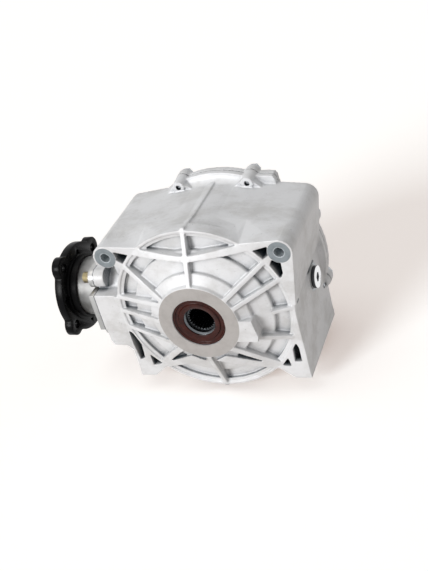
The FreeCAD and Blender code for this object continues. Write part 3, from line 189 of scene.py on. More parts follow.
def blend(tree: Tree, share: Socket, under: Union[Colour, Socket], over: Union[Colour, Socket]) -> Socket:
    """Lay one colour over another.

    Args:
        tree: node tree that gets the node.
        share: how much of the upper colour shows.
        under: the lower colour.
        over: the upper colour.

    Returns:
        Output socket with the colour.
    """
    colours = {"Fac": share, "Color1": under, "Color2": over}
    return add(tree, "ShaderNodeMixRGB", None, colours).outputs["Color"]


def lumps(tree: Tree, place: Socket, size_mm: float, detail: float, rough: float) -> Socket:
    """Noise whose lumps have a real size.

    Args:
        tree: node tree of the material.
        place: coordinates to read.
        size_mm: size of a lump.
        detail: octaves.
        rough: strength of the finer octaves.

    Returns:
        Output socket with the noise, 0 to 1.
    """
    inputs = {"Vector": place, "Scale": 1.0 / (size_mm * MM), "Detail": detail, "Roughness": rough}
    return add(tree, "ShaderNodeTexNoise", None, inputs).outputs["Fac"]


def painted_shade(tree: Tree, under: Socket, colour: str, reach_mm: float, span: Pair, share: float) -> Socket:
    """Painted shade: a darker colour where other surfaces are near, as in corners and hollows.

    Args:
        tree: node tree of the material.
        under: colour below it.
        colour: colour of the painted shade, sRGB.
        reach_mm: how near another surface has to be.
        span: openness at which it shows in full, and at which it ends.
        share: how much of it shows.

    Returns:
        Output socket with the colour.
    """
    hidden = add(tree, "ShaderNodeAmbientOcclusion", {"samples": 8}, {"Distance": reach_mm * MM})
    depth = ramp(tree, hidden.outputs["AO"], span, (share, 0.0), soft=True)
    return blend(tree, depth, under, linear(colour))


@dataclass(frozen=True)
class Turning:
    """Tool marks left by a lathe or a mill.

    Attributes:
        axis: axis that the work turned about.
        centre_mm: a point on that axis.
        pitch_mm: distance between marks; real ones are finer, and these are as coarse as they need to show.
        depth_mm: height of the marks.
        rings: rings on a flat face, or bands along a round one.
    """

    axis: Axis
    centre_mm: Triple
    pitch_mm: float = 0.8
    depth_mm: float = 0.02
    rings: bool = True

    def marks(self, tree: Tree, place: Socket) -> Socket:
        """Height of the tool marks.

        Args:
            tree: node tree of the material.
            place: object coordinates.

        Returns:
            Output socket with the height, 0 to 1.
        """
        centred = add(tree, "ShaderNodeMapping", {"vector_type": "POINT"},
                      {"Vector": place, "Location": [-c * MM for c in self.centre_mm]})
        kind = "RINGS" if self.rings else "BANDS"
        wave = add(tree, "ShaderNodeTexWave",
                   {"wave_type": kind, "rings_direction": self.axis.value,
                    "bands_direction": self.axis.value},
                   {"Vector": centred.outputs["Vector"], "Scale": WAVE_LENGTH / (self.pitch_mm * MM),
                    "Distortion": 0.6, "Detail": 2.0, "Detail Scale": 2.0})
        return wave.outputs["Fac"]


@dataclass(frozen=True)
class Finish:
    """Surface of one kind of piece.

    Attributes:
        name: name of the material.
        colour: main colour, sRGB.
        stain: colour of the blotches, sRGB.
        shade_and_pores: colour of the painted shade in corners, and of the dark pores, sRGB.
        metallic: share of bare metal.
        roughness: middle roughness.
        spread: how far the roughness wanders to each side.
        blotch_mm: size of the blotches.
        stretch: how much longer the blotches are along each axis.
        stain_share: how much of the stain colour shows.
        grain_mm: size of the grain.
        grain_depth_mm: height of the grain.
        corner_shade_mm: how far painted shade reaches out of corners, or 0 for none.
        corner_shade_share: how much of the painted shade in corners shows.
        pit_shade_mm: width of a hollow that gets painted shade, or 0 for none.
        pit_shade: colour of the painted shade in such a hollow, sRGB.
        specks: share of dark pores, or 0 for none.
        specular: specular level of the shader.
        turning: tool marks, if any.
    """

    name: str
    colour: str
    stain: str
    shade_and_pores: str = "#4A4743"
    metallic: float = 1.0
    roughness: float = 0.4
    spread: float = 0.08
    blotch_mm: float = 22.0
    stretch: Triple = (1.0, 1.0, 1.0)
    stain_share: float = 0.5
    grain_mm: float = 0.9
    grain_depth_mm: float = 0.02
    corner_shade_mm: float = 0.0
    corner_shade_share: float = 0.6
    pit_shade_mm: float = 0.0
    pit_shade: str = "#1C252B"
    specks: float = 0.0
    specular: float = 0.5
    turning: Optional[Turning] = None

    def blotches(self, tree: Tree, place: Socket) -> Socket:
        """Soft mask of the stains, 0 to 1."""
        stretched = add(tree, "ShaderNodeMapping", {"vector_type": "POINT"},
                        {"Vector": place, "Scale": [1.0 / s for s in self.stretch]})
        noise = lumps(tree, stretched.outputs["Vector"], self.blotch_mm, 7.0, 0.68)
        return ramp(tree, noise, BLOTCH_SPAN, (0.0, self.stain_share), soft=True)

    def paint(self, tree: Tree, place: Socket) -> Socket:
        """Colour with stains, pores, and painted shade in corners and hollows.

        Args:
            tree: node tree of the material.
            place: object coordinates.

        Returns:
            Output socket with the colour.
        """
        out = blend(tree, self.blotches(tree, place), linear(self.colour), linear(self.stain))
        if self.specks:
            pores = ramp(tree, lumps(tree, place, PORE_MM, 1.0, 0.4), PORE_SPAN, (self.specks, 0.0))
            out = blend(tree, pores, out, linear(self.shade_and_pores))
        # Painted shade: darker colour where other surfaces are near, in corners and in deep hollows
        if self.corner_shade_mm:
            out = painted_shade(tree, out, self.shade_and_pores, self.corner_shade_mm, CORNER_SHADE_SPAN, self.corner_shade_share)
        if self.pit_shade_mm:
            out = painted_shade(tree, out, self.pit_shade, self.pit_shade_mm, PIT_SHADE_SPAN, 1.0)
        return out

    def sheen_map(self, tree: Tree, place: Socket) -> Socket:
        """Roughness that wanders over the surface."""
        noise = lumps(tree, place, self.blotch_mm * SHEEN_SHARE, 5.0, 0.6)
        return ramp(tree, noise, SHEEN_SPAN, (self.roughness - self.spread, self.roughness + self.spread))

    def relief(self, tree: Tree, place: Socket) -> Socket:
        """Normal with grain and tool marks."""
        grain = lumps(tree, place, self.grain_mm, 3.0, 0.55)
        bump = add(tree, "ShaderNodeBump", None,
                   {"Height": grain, "Strength": 1.0, "Distance": self.grain_depth_mm * MM})
        if self.turning:
            marks = self.turning.marks(tree, place)
            bump = add(tree, "ShaderNodeBump", None,
                       {"Height": marks, "Strength": 1.0, "Distance": self.turning.depth_mm * MM,
                        "Normal": bump.outputs["Normal"]})
        return bump.outputs["Normal"]

    def start(self) -> Tuple[bpy.types.Material, Node, Socket]:
        """New material with its shader and object coordinates.

        Returns:
            The material, its shader node and the coordinate socket.
        """
        material = bpy.data.materials.new(self.name)
        material.use_nodes = True
        tree = material.node_tree
        shader = tree.nodes["Principled BSDF"]
        place = add(tree, "ShaderNodeTexCoord").outputs["Object"]
        return material, shader, place

    def material(self) -> bpy.types.Material:
        """Build the material.

        Returns:
            A material whose colour, roughness and relief come from nodes.
        """
        material, shader, place = self.start()
        tree = material.node_tree
        tree.links.new(self.paint(tree, place), shader.inputs["Base Color"])
        tree.links.new(self.sheen_map(tree, place), shader.inputs["Roughness"])
        tree.links.new(self.relief(tree, place), shader.inputs["Normal"])
        shader.inputs["Metallic"].default_value = self.metallic
        shader.inputs["Specular IOR Level"].default_value = self.specular
        return material


@dataclass(frozen=True)
class MilledFace:
    """Flat round face cut into a casting.

    Attributes:
        axis: direction that the face looks along.
        centre_mm: centre of the face.
        radius_mm: edge of the cut.
        reach_mm: depth on both sides of the face that counts as cut.
    """

    axis: Axis
    centre_mm: Triple
    radius_mm: float
    reach_mm: float = 0.45

    def mask(self, tree: Tree, place: Socket) -> Socket:
        """Mask of the cut face, 1 on it.

        Args:
            tree: node tree of the material.
            place: object coordinates.

        Returns:
            Output socket with the mask.
        """
        offset = add(tree, "ShaderNodeVectorMath", {"operation": "SUBTRACT"},
                     {0: place, 1: [c * MM for c in self.centre_mm]}).outputs["Vector"]
        flat = [1.0, 1.0, 1.0]
        flat[self.axis.index()] = 0.0
        across = add(tree, "ShaderNodeVectorMath", {"operation": "MULTIPLY"}, {0: offset, 1: flat})
        radius = add(tree, "ShaderNodeVectorMath", {"operation": "LENGTH"}, {0: across.outputs["Vector"]})
        inside = reckon(tree, "LESS_THAN", radius.outputs["Value"], self.radius_mm * MM)
        split = add(tree, "ShaderNodeSeparateXYZ", None, {"Vector": offset})
        along = reckon(tree, "ABSOLUTE", split.outputs[self.axis.value])
        near = reckon(tree, "LESS_THAN", along, self.reach_mm * MM)
        return reckon(tree, "MULTIPLY", inside, near)


@dataclass(frozen=True)
class LedgeShade:
    """Painted shadow under the ledge of a side wall.

    Attributes:
        wall_mm: half width past which the wall lies.
        start_mm: front end of the ledge, as depth and height.
        end_mm: depth of its back end.
        climb: rise of the ledge towards the back.
        drop_mm: how far down the painted shadow reaches.
        full: share of that drop over which it is at its darkest.
    """

    wall_mm: float = 98.0
    start_mm: Pair = (30.0, 7.5)
    end_mm: float = 130.0
    climb: float = 0.07
    drop_mm: float = 5.0
    full: float = 0.6

    def mask(self, tree: Tree, place: Socket) -> Socket:
        """Mask of the painted shadow, strongest at the ledge.

        Args:
            tree: node tree of the material.
            place: object coordinates.

        Returns:
            Output socket with the mask.
        """
        split = add(tree, "ShaderNodeSeparateXYZ", None, {"Vector": place})
        front, height = self.start_mm
        level = (height - front * self.climb) * MM
        ledge = reckon(tree, "MULTIPLY_ADD", split.outputs["Y"], self.climb, level)
        under = reckon(tree, "SUBTRACT", ledge, split.outputs["Z"])
        below = reckon(tree, "GREATER_THAN", under, 0.0)
        fade = ramp(tree, under, (self.full * self.drop_mm * MM, self.drop_mm * MM), (1.0, 0.0), soft=True)
        middle = 0.5 * (front + self.end_mm) * MM
        along = reckon(tree, "COMPARE", split.outputs["Y"], middle, self.end_mm * MM - middle)
        outside = reckon(tree, "GREATER_THAN", split.outputs["X"], self.wall_mm * MM)
        wall = reckon(tree, "MULTIPLY", along, outside)
        return reckon(tree, "MULTIPLY", reckon(tree, "MULTIPLY", below, fade), wall)


@dataclass(frozen=True)
class Cut:
    """Places of a casting that share a finish of their own.

    Attributes:
        finish: finish of those places.
        faces: where they are.
    """

    finish: Finish
    faces: Tuple[Union[MilledFace, LedgeShade], ...]

    def mask(self, tree: Tree, place: Socket) -> Socket:
        """Mask of all the faces, 1 on them."""
        mask = self.faces[0].mask(tree, place)
        for face in self.faces[1:]:
            mask = reckon(tree, "MAXIMUM", mask, face.mask(tree, place))
        return mask


@dataclass(frozen=True)
class CastFinish:
    """Finish of one piece that has other finishes in places, in one material.

    Attributes:
        name: name of the material.
        cast: finish of the skin.
        cuts: what was cut into it, and painted shadow laid on it.
    """

    name: str
    cast: Finish
    cuts: Tuple[Cut, ...]

    def material(self) -> bpy.types.Material:
        """Build the material.

        Returns:
            A material that shows each cut's finish on its faces and the skin elsewhere.
        """
        material, shader, place = self.cast.start()
        material.name = self.name
        tree = material.node_tree
        colour = self.cast.paint(tree, place)
        sheen = self.cast.sheen_map(tree, place)
        metallic: Amount = self.cast.metallic
        normal = self.cast.relief(tree, place)
        for cut in self.cuts:
            mask = cut.mask(tree, place)
            colour = blend(tree, mask, colour, cut.finish.paint(tree, place))
            shiny = add(tree, "ShaderNodeMix", {"data_type": "FLOAT"},
                        {0: mask, 2: sheen, 3: cut.finish.sheen_map(tree, place)})
            sheen = shiny.outputs[0]
            bare = add(tree, "ShaderNodeMix", {"data_type": "FLOAT"},
                       {0: mask, 2: metallic, 3: cut.finish.metallic})
            metallic = bare.outputs[0]
            marked = add(tree, "ShaderNodeMix", {"data_type": "VECTOR"},
                         {0: mask, 4: normal, 5: cut.finish.relief(tree, place)})
            normal = marked.outputs[1]
        tree.links.new(colour, shader.inputs["Base Color"])
        tree.links.new(sheen, shader.inputs["Roughness"])
        tree.links.new(metallic, shader.inputs["Metallic"])
        tree.links.new(normal, shader.inputs["Normal"])
        return material


AnyFinish = Union[Finish, CastFinish]

# Where a finish gives it a reach, its shade colour is painted shade in corners and hollows
# Aluminium sand casting, shot blasted: matt and nearly white, greyer where handled, with painted shade in its
# corners and a blue-black painted shade in its deep pockets
CAST_SKIN = Finish("blasted_cast_aluminium", "#DCDDDF", "#B9B8B6", shade_and_pores="#555C63", metallic=0.12,
                   roughness=0.50, spread=0.07, blotch_mm=34.0, stretch=(1.4, 1.0, 1.0), stain_share=0.6,
                   grain_mm=1.1, grain_depth_mm=0.04, corner_shade_mm=9.0, corner_shade_share=0.6, pit_shade_mm=34.0,
                   pit_shade="#1C2D38", specks=0.35)
# The same casting after a face mill: smoother, a little warm, with fine rings
MILLED_SKIN = Finish("milled_aluminium", "#B2AEAB", "#9E9996", metallic=0.5, roughness=0.40, spread=0.05,
                     blotch_mm=14.0, stain_share=0.5, grain_mm=0.7, grain_depth_mm=0.01,
                     turning=Turning(Axis.AXLE, AXLE_MM, pitch_mm=0.9, depth_mm=0.012))
# Spotfaces round bolt holes, cut with a worn tool: darker and bluish
SPOTFACED_SKIN = Finish("spotfaced_aluminium", "#8B9296", "#757C80", metallic=0.6, roughness=0.42,
                        spread=0.06, blotch_mm=7.0, stain_share=0.6, grain_mm=0.8, grain_depth_mm=0.015)
# The skin under a ledge, darker grey: painted shadow
LEDGE_SHADOW_SKIN = Finish("ledge_shadow_aluminium", "#74787A", "#5F6366", metallic=0.1, roughness=0.58, spread=0.05,
                    blotch_mm=9.0, stain_share=0.8, grain_mm=1.1, grain_depth_mm=0.04)
# Bored holes: bright
BORED_SKIN = Finish("bored_aluminium", "#B9C0C4", "#A4ABAF", metallic=0.5, roughness=0.30, spread=0.05,
                    blotch_mm=6.0, stain_share=0.4, grain_mm=0.6, grain_depth_mm=0.01)
# Aluminium tube turned on a lathe: bright, with bands round it
TURNED_ALUMINIUM = Finish("turned_aluminium", "#B9B9B8", "#A09F9D", shade_and_pores="#5A5856", metallic=0.85,
                          roughness=0.36, spread=0.06, blotch_mm=16.0, stain_share=0.5, grain_mm=0.7,
                          grain_depth_mm=0.01, corner_shade_mm=5.0,
                          turning=Turning(Axis.PINION, PINION_MM, pitch_mm=0.9, depth_mm=0.014, rings=False))
# Forged steel under black paint: very dark, with thin satin highlights on its edges
BLACK_ENAMEL = Finish("black_enamel", "#050506", "#08080A", shade_and_pores="#020202", metallic=0.0, roughness=0.30,
                      spread=0.06, blotch_mm=12.0, stain_share=0.6, grain_mm=1.4, grain_depth_mm=0.01,
                      specular=0.08, corner_shade_mm=3.0)
# Nitrile rubber, moulded: dark brown and slightly greasy
BROWN_RUBBER = Finish("brown_nitrile_rubber", "#3C150D", "#230B07", shade_and_pores="#070303", metallic=0.0,
                      roughness=0.24, spread=0.05, blotch_mm=9.0, stain_share=0.8, grain_mm=1.6,
                      grain_depth_mm=0.004, corner_shade_mm=1.6, corner_shade_share=0.9, specular=0.22)
# Carburised steel, ground and oiled: dark and satin
OILED_STEEL = Finish("oiled_gear_steel", "#5A5957", "#33312F", shade_and_pores="#0E0D0C", metallic=1.0,
                     roughness=0.34, spread=0.10, blotch_mm=9.0, stain_share=0.7, grain_mm=0.6,
                     grain_depth_mm=0.01, corner_shade_mm=6.0, corner_shade_share=0.9)
# The same steel at the mouth of the splined sleeve: grey at the mouth, with painted shade that turns it black
# further in
SLEEVE_STEEL = Finish("oiled_sleeve_steel", "#74777A", "#5A5D60", shade_and_pores="#060607", metallic=1.0,
                      roughness=0.28, spread=0.06, blotch_mm=7.0, stain_share=0.6, grain_mm=0.6,
                      grain_depth_mm=0.006, corner_shade_mm=20.0, corner_shade_share=1.0)
# Bearing steel, ground all over: bright
GROUND_STEEL = Finish("ground_bearing_steel", "#A9ABAE", "#8B8D90", metallic=1.0, roughness=0.22,
                      spread=0.05, blotch_mm=10.0, stain_share=0.4, grain_mm=0.5, grain_depth_mm=0.005)
# Grey iron casting, machined on its seats
GREY_IRON = Finish("grey_iron", "#6A6866", "#4B4947", metallic=0.8, roughness=0.55, spread=0.10,
                   blotch_mm=14.0, stain_share=0.7, grain_mm=1.0, grain_depth_mm=0.05, corner_shade_mm=4.0)
# Steel with yellow chromate over zinc: pale gold
YELLOW_ZINC = Finish("yellow_zinc_plate", "#A99C78", "#857B60", shade_and_pores="#3A2F1C", metallic=0.9,
                     roughness=0.34, spread=0.10, blotch_mm=3.0, stain_share=0.9, grain_mm=0.5,
                     grain_depth_mm=0.01, corner_shade_mm=2.5)
# Steel with clear zinc: blue-white
CLEAR_ZINC = Finish("clear_zinc_plate", "#B4B7BA", "#8E9194", shade_and_pores="#3C3B3A", metallic=1.0,
                    roughness=0.32, spread=0.08, blotch_mm=3.5, stain_share=0.6, grain_mm=0.5,
                    grain_depth_mm=0.008, corner_shade_mm=2.5)
# Nickel plated plug, polished
BRIGHT_PLATE = Finish("bright_nickel_plate", "#EDEDED", "#D9D9DA", shade_and_pores="#1C1C1E", metallic=1.0,
                      roughness=0.14, spread=0.05, blotch_mm=5.0, stain_share=0.4, grain_mm=0.6,
                      grain_depth_mm=0.004, corner_shade_mm=3.0, corner_shade_share=0.8)
# The same plating on a turned side and in a broached socket, where it is dull and dark
DULL_PLATE = Finish("dull_nickel_plate", "#5B5C5E", "#3E3F41", shade_and_pores="#101011", metallic=1.0,
                    roughness=0.34, spread=0.08, blotch_mm=4.0, stain_share=0.7, grain_mm=0.6,
                    grain_depth_mm=0.008, corner_shade_mm=4.0, corner_shade_share=0.9)
# Soft aluminium washer, stamped
SOFT_WASHER = Finish("stamped_soft_washer", "#A9A8A6", "#8A8886", metallic=0.9, roughness=0.42, spread=0.08,
                     blotch_mm=5.0, stain_share=0.5, grain_mm=0.5, grain_depth_mm=0.01)
# Fibre gasket paper: grey and matt
GASKET_PAPER = Finish("gasket_fibre", "#4C4B47", "#3A3936", metallic=0.0, roughness=0.85, spread=0.05,
                      blotch_mm=4.0, stain_share=0.6, grain_mm=0.5, grain_depth_mm=0.03)

MOUNT_BOSSES = ((-BOSS_X, BOSS_Y, BOSS_Z), (BOSS_X, BOSS_Y, BOSS_Z))
PLUG_SEAT = MilledFace(Axis.PINION, (PLUG_SEAT_X, PLUG_Y, PLUG_Z), PLUG_SEAT_R, reach_mm=1.6)
PLUG_SIDE = MilledFace(Axis.PINION, (PLUG_SIDE_X, PLUG_Y, PLUG_Z), PLUG_PAST_R, reach_mm=2.6)
CASE_FINISH = CastFinish("main_case_skin", CAST_SKIN, (
    Cut(MILLED_SKIN, (MilledFace(Axis.AXLE, AXLE_MM, HUB_FACE_R),)),
    Cut(SPOTFACED_SKIN,
        tuple(MilledFace(Axis.AXLE, boss, BOSS_FACE_R, reach_mm=0.6) for boss in MOUNT_BOSSES)),
    # Painted shadow under the ledge of the right side wall
    Cut(LEDGE_SHADOW_SKIN, (LedgeShade(),)),
    Cut(BORED_SKIN, (*(MilledFace(Axis.AXLE, boss, BOSS_HOLE_R, BOSS_HOLE_REACH) for boss in MOUNT_BOSSES),
                     PLUG_SEAT)),
))
FILL_PLUG_FINISH = CastFinish("fill_plug_skin", BRIGHT_PLATE, (Cut(DULL_PLATE, (PLUG_SIDE,)),))
COVER_FINISH = CastFinish("side_cover_skin", CAST_SKIN, (
    Cut(MILLED_SKIN, (MilledFace(Axis.AXLE, COVER_HUB_MM, HUB_FACE_R),)),
))


class Palette:
    """Materials, each made once."""

    def __init__(self) -> None:
        """Start with no material."""
        self.made: Dict[str, bpy.types.Material] = {}

    def get(self, finish: AnyFinish) -> bpy.types.Material:
        """Material of a finish.

        Args:
            finish: finish that is asked for.

        Returns:
            The material, made on first use.
        """
        if finish.name not in self.made:
            self.made[finish.name] = finish.material()
        return self.made[finish.name]


def only(obj: bpy.types.Object) -> None:
    """Select one object and make it active."""
    bpy.ops.object.select_all(action="DESELECT")
    obj.select_set(True)
    bpy.context.view_layer.objects.active = obj


def smooth(obj: bpy.types.Object, degrees: float) -> None:
    """Shade an object smoothly, apart from edges sharper than an angle."""
    only(obj)
    bpy.ops.object.shade_smooth_by_angle(angle=math.radians(degrees))


def apply_modifier(obj: bpy.types.Object, kind: str, settings: Dict[str, Any]) -> None:
    """Add a modifier and apply it.

    Args:
        obj: piece that is changed.
        kind: type of the modifier.
        settings: its properties by name.
    """
    only(obj)
    modifier = obj.modifiers.new(kind.lower(), kind)
    for key, value in settings.items():
        setattr(modifier, key, value)
    bpy.ops.object.modifier_apply(modifier=modifier.name)


def merged_copy(node: bpy.types.Object, name: str) -> bpy.types.Object:
    """Copy a CAD node as a piece of its own, with its corners joined.

    Args:
        node: CAD node, which stays as it is.
        name: name of the new piece.

    Returns:
        The new piece, with its mesh merged.
    """
    mesh = node.data.copy()
    mesh.name = name
    piece = bpy.data.objects.new(name, mesh)
    bpy.context.scene.collection.objects.link(piece)
    mesh.materials.clear()
    only(piece)
    if mesh.has_custom_normals:
        bpy.ops.mesh.customdata_custom_splitnormals_clear()
    bpy.ops.object.mode_set(mode="EDIT")
    bpy.ops.mesh.select_all(action="SELECT")
    bpy.ops.mesh.remove_doubles(threshold=MERGE_MM * MM)
    bpy.ops.object.mode_set(mode="OBJECT")
    return piece


@dataclass
class Piece:
    """A dressed piece that stands for a CAD node.

    Attributes:
        node: CAD node that the piece stands for.
        body: body it moves with.
        finish: its surface.
        slot: material slot of the record; not used.
    """

    node: str
    body: Body
    finish: AnyFinish
    slot: str

    def place(self, piece: bpy.types.Object, finishes: Palette) -> None:
        """Give the piece its finish and put it on its body."""
        piece.data.materials.append(finishes.get(self.finish))
        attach(piece, self.body.value)
        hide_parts(self.node)


@dataclass
class Machined(Piece):
    """A machined piece: the CAD shape with its sharp edges broken.

    Attributes:
        edge_mm: width of the broken edges.
        edge_angle: edges sharper than this are broken, in degrees.
    """

    edge_mm: float = 0.35
    edge_angle: float = 32.0

    def build(self, nodes: Dict[str, bpy.types.Object], finishes: Palette) -> bpy.types.Object:
        """Make the piece and put it on its body.

        Args:
            nodes: CAD nodes by name.
            finishes: materials made so far.

        Returns:
            The finished piece.
        """
        piece = merged_copy(nodes[self.node], self.node + "_dressed")
        bpy.ops.object.mode_set(mode="EDIT")
        bpy.ops.mesh.select_all(action="SELECT")
        bpy.ops.mesh.dissolve_limited(angle_limit=math.radians(FLAT_DEG))
        bpy.ops.object.mode_set(mode="OBJECT")
        apply_modifier(piece, "BEVEL", {
            "width": self.edge_mm * MM, "segments": 2, "limit_method": "ANGLE",
            "angle_limit": math.radians(self.edge_angle), "use_clamp_overlap": True,
        })
        smooth(piece, MACHINED_SMOOTH_DEG)
        self.place(piece, finishes)
        return piece


@dataclass
class Casting(Piece):
    """A sand casting: the CAD shape with every edge rounded, as a mould leaves it.

    Attributes:
        grid_mm: grid that the skin is laid on.
        rounds: passes that round the edges.
        faces: triangles kept.
    """

    grid_mm: float = 0.75
    rounds: int = 3
    faces: int = 190000

    def build(self, nodes: Dict[str, bpy.types.Object], finishes: Palette) -> bpy.types.Object:
        """Make the casting and put it on its body.

        Args:
            nodes: CAD nodes by name.
            finishes: materials made so far.

        Returns:
            The finished piece.
        """
        piece = merged_copy(nodes[self.node], self.node + "_casting")
        self.round_edges(piece)
        self.place(piece, finishes)
        return piece

    def round_edges(self, piece: bpy.types.Object) -> None:
        """Lay the skin on a fine grid, round it, and thin the flat places."""
        apply_modifier(piece, "REMESH", {"mode": "VOXEL", "voxel_size": self.grid_mm * MM, "adaptivity": 0.0})
        apply_modifier(piece, "SMOOTH", {"factor": 0.5, "iterations": self.rounds})
        count = len(piece.data.polygons) * 2
        if count > self.faces:
            apply_modifier(piece, "DECIMATE", {"decimate_type": "COLLAPSE", "ratio": self.faces / count})
        smooth(piece, CAST_SMOOTH_DEG)


@dataclass
class Inside:
    """CAD nodes that keep their own mesh.

    Attributes:
        finishes: finish of the nodes whose name holds a word; the others are oiled steel.
    """

    finishes: Dict[str, Finish] = field(default_factory=lambda: {
        "bearing": GROUND_STEEL,
        "differential_case": GREY_IRON,
        "cover_gasket": GASKET_PAPER,
        "washers": SOFT_WASHER,
        "shim": GROUND_STEEL,
        "seal": BROWN_RUBBER,
    })

    def build(self, nodes: Dict[str, bpy.types.Object], finishes: Palette) -> None:
        """Give every CAD node a finish.

        Args:
            nodes: CAD nodes by name.
            finishes: materials made so far.
        """
        for name, node in nodes.items():
            found = [finish for key, finish in self.finishes.items() if key in name]
            node.data.materials.clear()
            node.data.materials.append(finishes.get(found[0] if found else OILED_STEEL))


@dataclass(frozen=True)
class Lamp:
    """Distant soft lamp.

    Attributes:
        name: name of the lamp.
        direction: direction that its light travels.
        strength: its strength.
        softness: angle that it covers in the sky, in degrees.
        colour: its colour, sRGB.
    """

    name: str
    direction: Triple
    strength: float
    softness: float
    colour: str

    def build(self) -> None:
        """Hang the lamp."""
        data = bpy.data.lights.new(self.name, "SUN")
        data.energy = self.strength
        data.angle = math.radians(self.softness)
        data.color = linear(self.colour)[:3]
        lamp = bpy.data.objects.new(self.name, data)
        bpy.context.scene.collection.objects.link(lamp)
        lamp.rotation_euler = Vector(self.direction).to_track_quat("-Z", "Y").to_euler()


@dataclass
class Studio:
    """Floor, light and camera.

    Attributes:
        floor_z: height of the floor, in metres.
        floor_half: half the side of the floor.
        camera_place: place of the camera.
        camera_ahead: direction that it looks along.
        camera_up: its upward direction.
        lens_mm: focal length, for film as wide as FILM_WIDTH_MM.
        sheet_colour: what the floor gives back of the light, as the camera sees it, in linear light.
        glow_colour: what it adds, so that it is white in the light and warm in the shade.
        paper: colour of the floor as the piece sees it, sRGB.
        surroundings: strength of the white surroundings as a light.
        key: lamp at the front left.
        top: weaker lamp above, on the same side.
    """

    floor_z: float = -0.1101
    floor_half: float = 6.0
    camera_place: Triple = (0.410949, -0.756856, 0.565770)
    camera_ahead: Triple = (-0.38357867, 0.76274454, -0.52066128)
    camera_up: Triple = (0.01849616, 0.57001825, 0.82142381)
    lens_mm: float = 60.55
    sheet_colour: Colour = (0.88, 0.97, 1.0, 1.0)
    glow_colour: Colour = (0.38, 0.29, 0.25, 1.0)
    paper: str = "#E8DFD8"
    surroundings: float = 0.33
    key: Lamp = Lamp("key", (0.42, 0.82, -0.38), 2.4, 24.0, "#FFFFFF")
    top: Lamp = Lamp("top", (0.30, 0.05, -0.95), 0.45, 40.0, "#FFFAF4")

    def floor(self) -> None:
        """Pale floor that shows a soft warm shadow."""
        bpy.ops.object.select_all(action="DESELECT")
        bpy.ops.mesh.primitive_plane_add(size=2 * self.floor_half, location=(0, 0, self.floor_z))
        floor = bpy.context.object
        floor.name = "studio_floor"
        material = bpy.data.materials.new("studio_paper")
        material.use_nodes = True
        tree = material.node_tree
        tree.nodes.clear()
        paper = add(tree, "ShaderNodeBsdfDiffuse", None, {"Color": linear(self.paper)})
        sheet = add(tree, "ShaderNodeBsdfDiffuse", None, {"Color": self.sheet_colour})
        glow = add(tree, "ShaderNodeEmission", None, {"Color": self.glow_colour, "Strength": 1.0})
        both = add(tree, "ShaderNodeAddShader", None, {0: sheet.outputs[0], 1: glow.outputs[0]})
        white = add(tree, "ShaderNodeEmission", None, {"Color": WHITE, "Strength": 1.0})
        path = add(tree, "ShaderNodeLightPath")
        shiny = reckon(tree, "MAXIMUM", path.outputs["Is Glossy Ray"], path.outputs["Is Transmission Ray"])
        seen = add(tree, "ShaderNodeMixShader", None,
                   {0: path.outputs["Is Camera Ray"], 1: paper.outputs[0], 2: both.outputs[0]})
        final = add(tree, "ShaderNodeMixShader", None,
                    {0: shiny, 1: seen.outputs[0], 2: white.outputs[0]})
        add(tree, "ShaderNodeOutputMaterial", None, {"Surface": final.outputs[0]})
        floor.data.materials.append(material)

    def world(self) -> None:
        """White surroundings for the camera and for shiny pieces, softer for light."""
        world = bpy.data.worlds.new("studio_white")
        bpy.context.scene.world = world
        world.use_nodes = True
        tree = world.node_tree
        tree.nodes.clear()
        path = add(tree, "ShaderNodeLightPath")
        mirrored = reckon(tree, "MAXIMUM", path.outputs["Is Camera Ray"], path.outputs["Is Glossy Ray"])
        seen = reckon(tree, "MAXIMUM", mirrored, path.outputs["Is Transmission Ray"])
        level = ramp(tree, seen, (0.0, 1.0), (self.surroundings, 1.0))
        back = add(tree, "ShaderNodeBackground", None, {"Color": WHITE, "Strength": level})
        add(tree, "ShaderNodeOutputWorld", None, {"Surface": back.outputs[0]})

    def camera(self) -> None:
        """Camera at the photograph's angle."""
        data = bpy.data.cameras.new("camera")
        camera = bpy.data.objects.new("camera", data)
        bpy.context.scene.collection.objects.link(camera)
        ahead = Vector(self.camera_ahead)
        up = Vector(self.camera_up)
        matrix = Matrix((ahead.cross(up), up, -ahead)).transposed().to_4x4()
        matrix.translation = Vector(self.camera_place)
        camera.matrix_world = matrix
        data.sensor_width = FILM_WIDTH_MM
        data.sensor_fit = "AUTO"
        data.lens = self.lens_mm
        data.clip_start = 0.05
        data.clip_end = 50.0
        bpy.context.scene.camera = camera

    def build(self) -> None:
        """Put up the whole studio."""
        self.floor()
        self.world()
        self.key.build()
        self.top.build()
        self.camera()
        bpy.context.scene.view_settings.view_transform = "Standard"


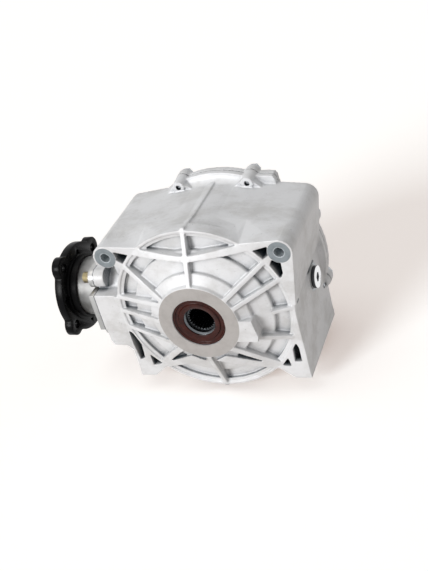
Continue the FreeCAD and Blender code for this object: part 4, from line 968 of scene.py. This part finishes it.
@dataclass
class FinalDrive:
    """The whole unit, piece by piece."""

    castings: List[Casting] = field(default_factory=lambda: [
        Casting("main_case", Body.HOUSING, CASE_FINISH, "cast_aluminium"),
        Casting("side_cover", Body.HOUSING, COVER_FINISH, "cast_aluminium", grid_mm=1.0, faces=120000),
    ])
    machined: List[Machined] = field(default_factory=lambda: [
        Machined("pinion_cartridge", Body.HOUSING, TURNED_ALUMINIUM, "turned_aluminium", 0.5),
        Machined("cartridge_bolts", Body.HOUSING, YELLOW_ZINC, "yellow_zinc", 0.4),
        Machined("cover_bolts", Body.HOUSING, CLEAR_ZINC, "zinc_steel", 0.3),
        Machined("input_flange", Body.PINION, BLACK_ENAMEL, "black_steel", 0.8),
        Machined("pinion_nut", Body.PINION, CLEAR_ZINC, "steel", 0.5),
        Machined("pinion_nut_washer", Body.PINION, OILED_STEEL, "steel", 0.3),
        Machined("fill_plug", Body.HOUSING, FILL_PLUG_FINISH, "bright_plug", 0.4),
        Machined("fill_plug_washer", Body.HOUSING, SOFT_WASHER, "soft_washer", 0.2),
        Machined("drain_plug", Body.HOUSING, BRIGHT_PLATE, "bright_plug", 0.4),
        Machined("drain_plug_washer", Body.HOUSING, SOFT_WASHER, "soft_washer", 0.2),
        Machined("front_output_seal", Body.HOUSING, BROWN_RUBBER, "seal_rubber", 0.3),
        Machined("rear_output_seal", Body.HOUSING, BROWN_RUBBER, "seal_rubber", 0.3),
        Machined("front_side_gear", Body.FRONT_OUTPUT, SLEEVE_STEEL, "steel", 0.12),
        Machined("rear_side_gear", Body.REAR_OUTPUT, SLEEVE_STEEL, "steel", 0.12),
    ])
    inside: Inside = field(default_factory=Inside)

    def build(self, nodes: Dict[str, bpy.types.Object]) -> None:
        """Dress the whole unit.

        Args:
            nodes: CAD nodes by name.
        """
        finishes = Palette()
        self.inside.build(nodes, finishes)
        for part in [*self.machined, *self.castings]:
            piece = part.build(nodes, finishes)
            log.info("%s has %d faces", piece.name, len(piece.data.polygons))


def main() -> None:
    """Load the frame, dress it and put up the studio."""
    logging.basicConfig(level=logging.INFO, format="%(message)s")
    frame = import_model()
    FinalDrive().build(frame["nodes"])
    Studio().build()


if __name__ == "__main__":
    main()
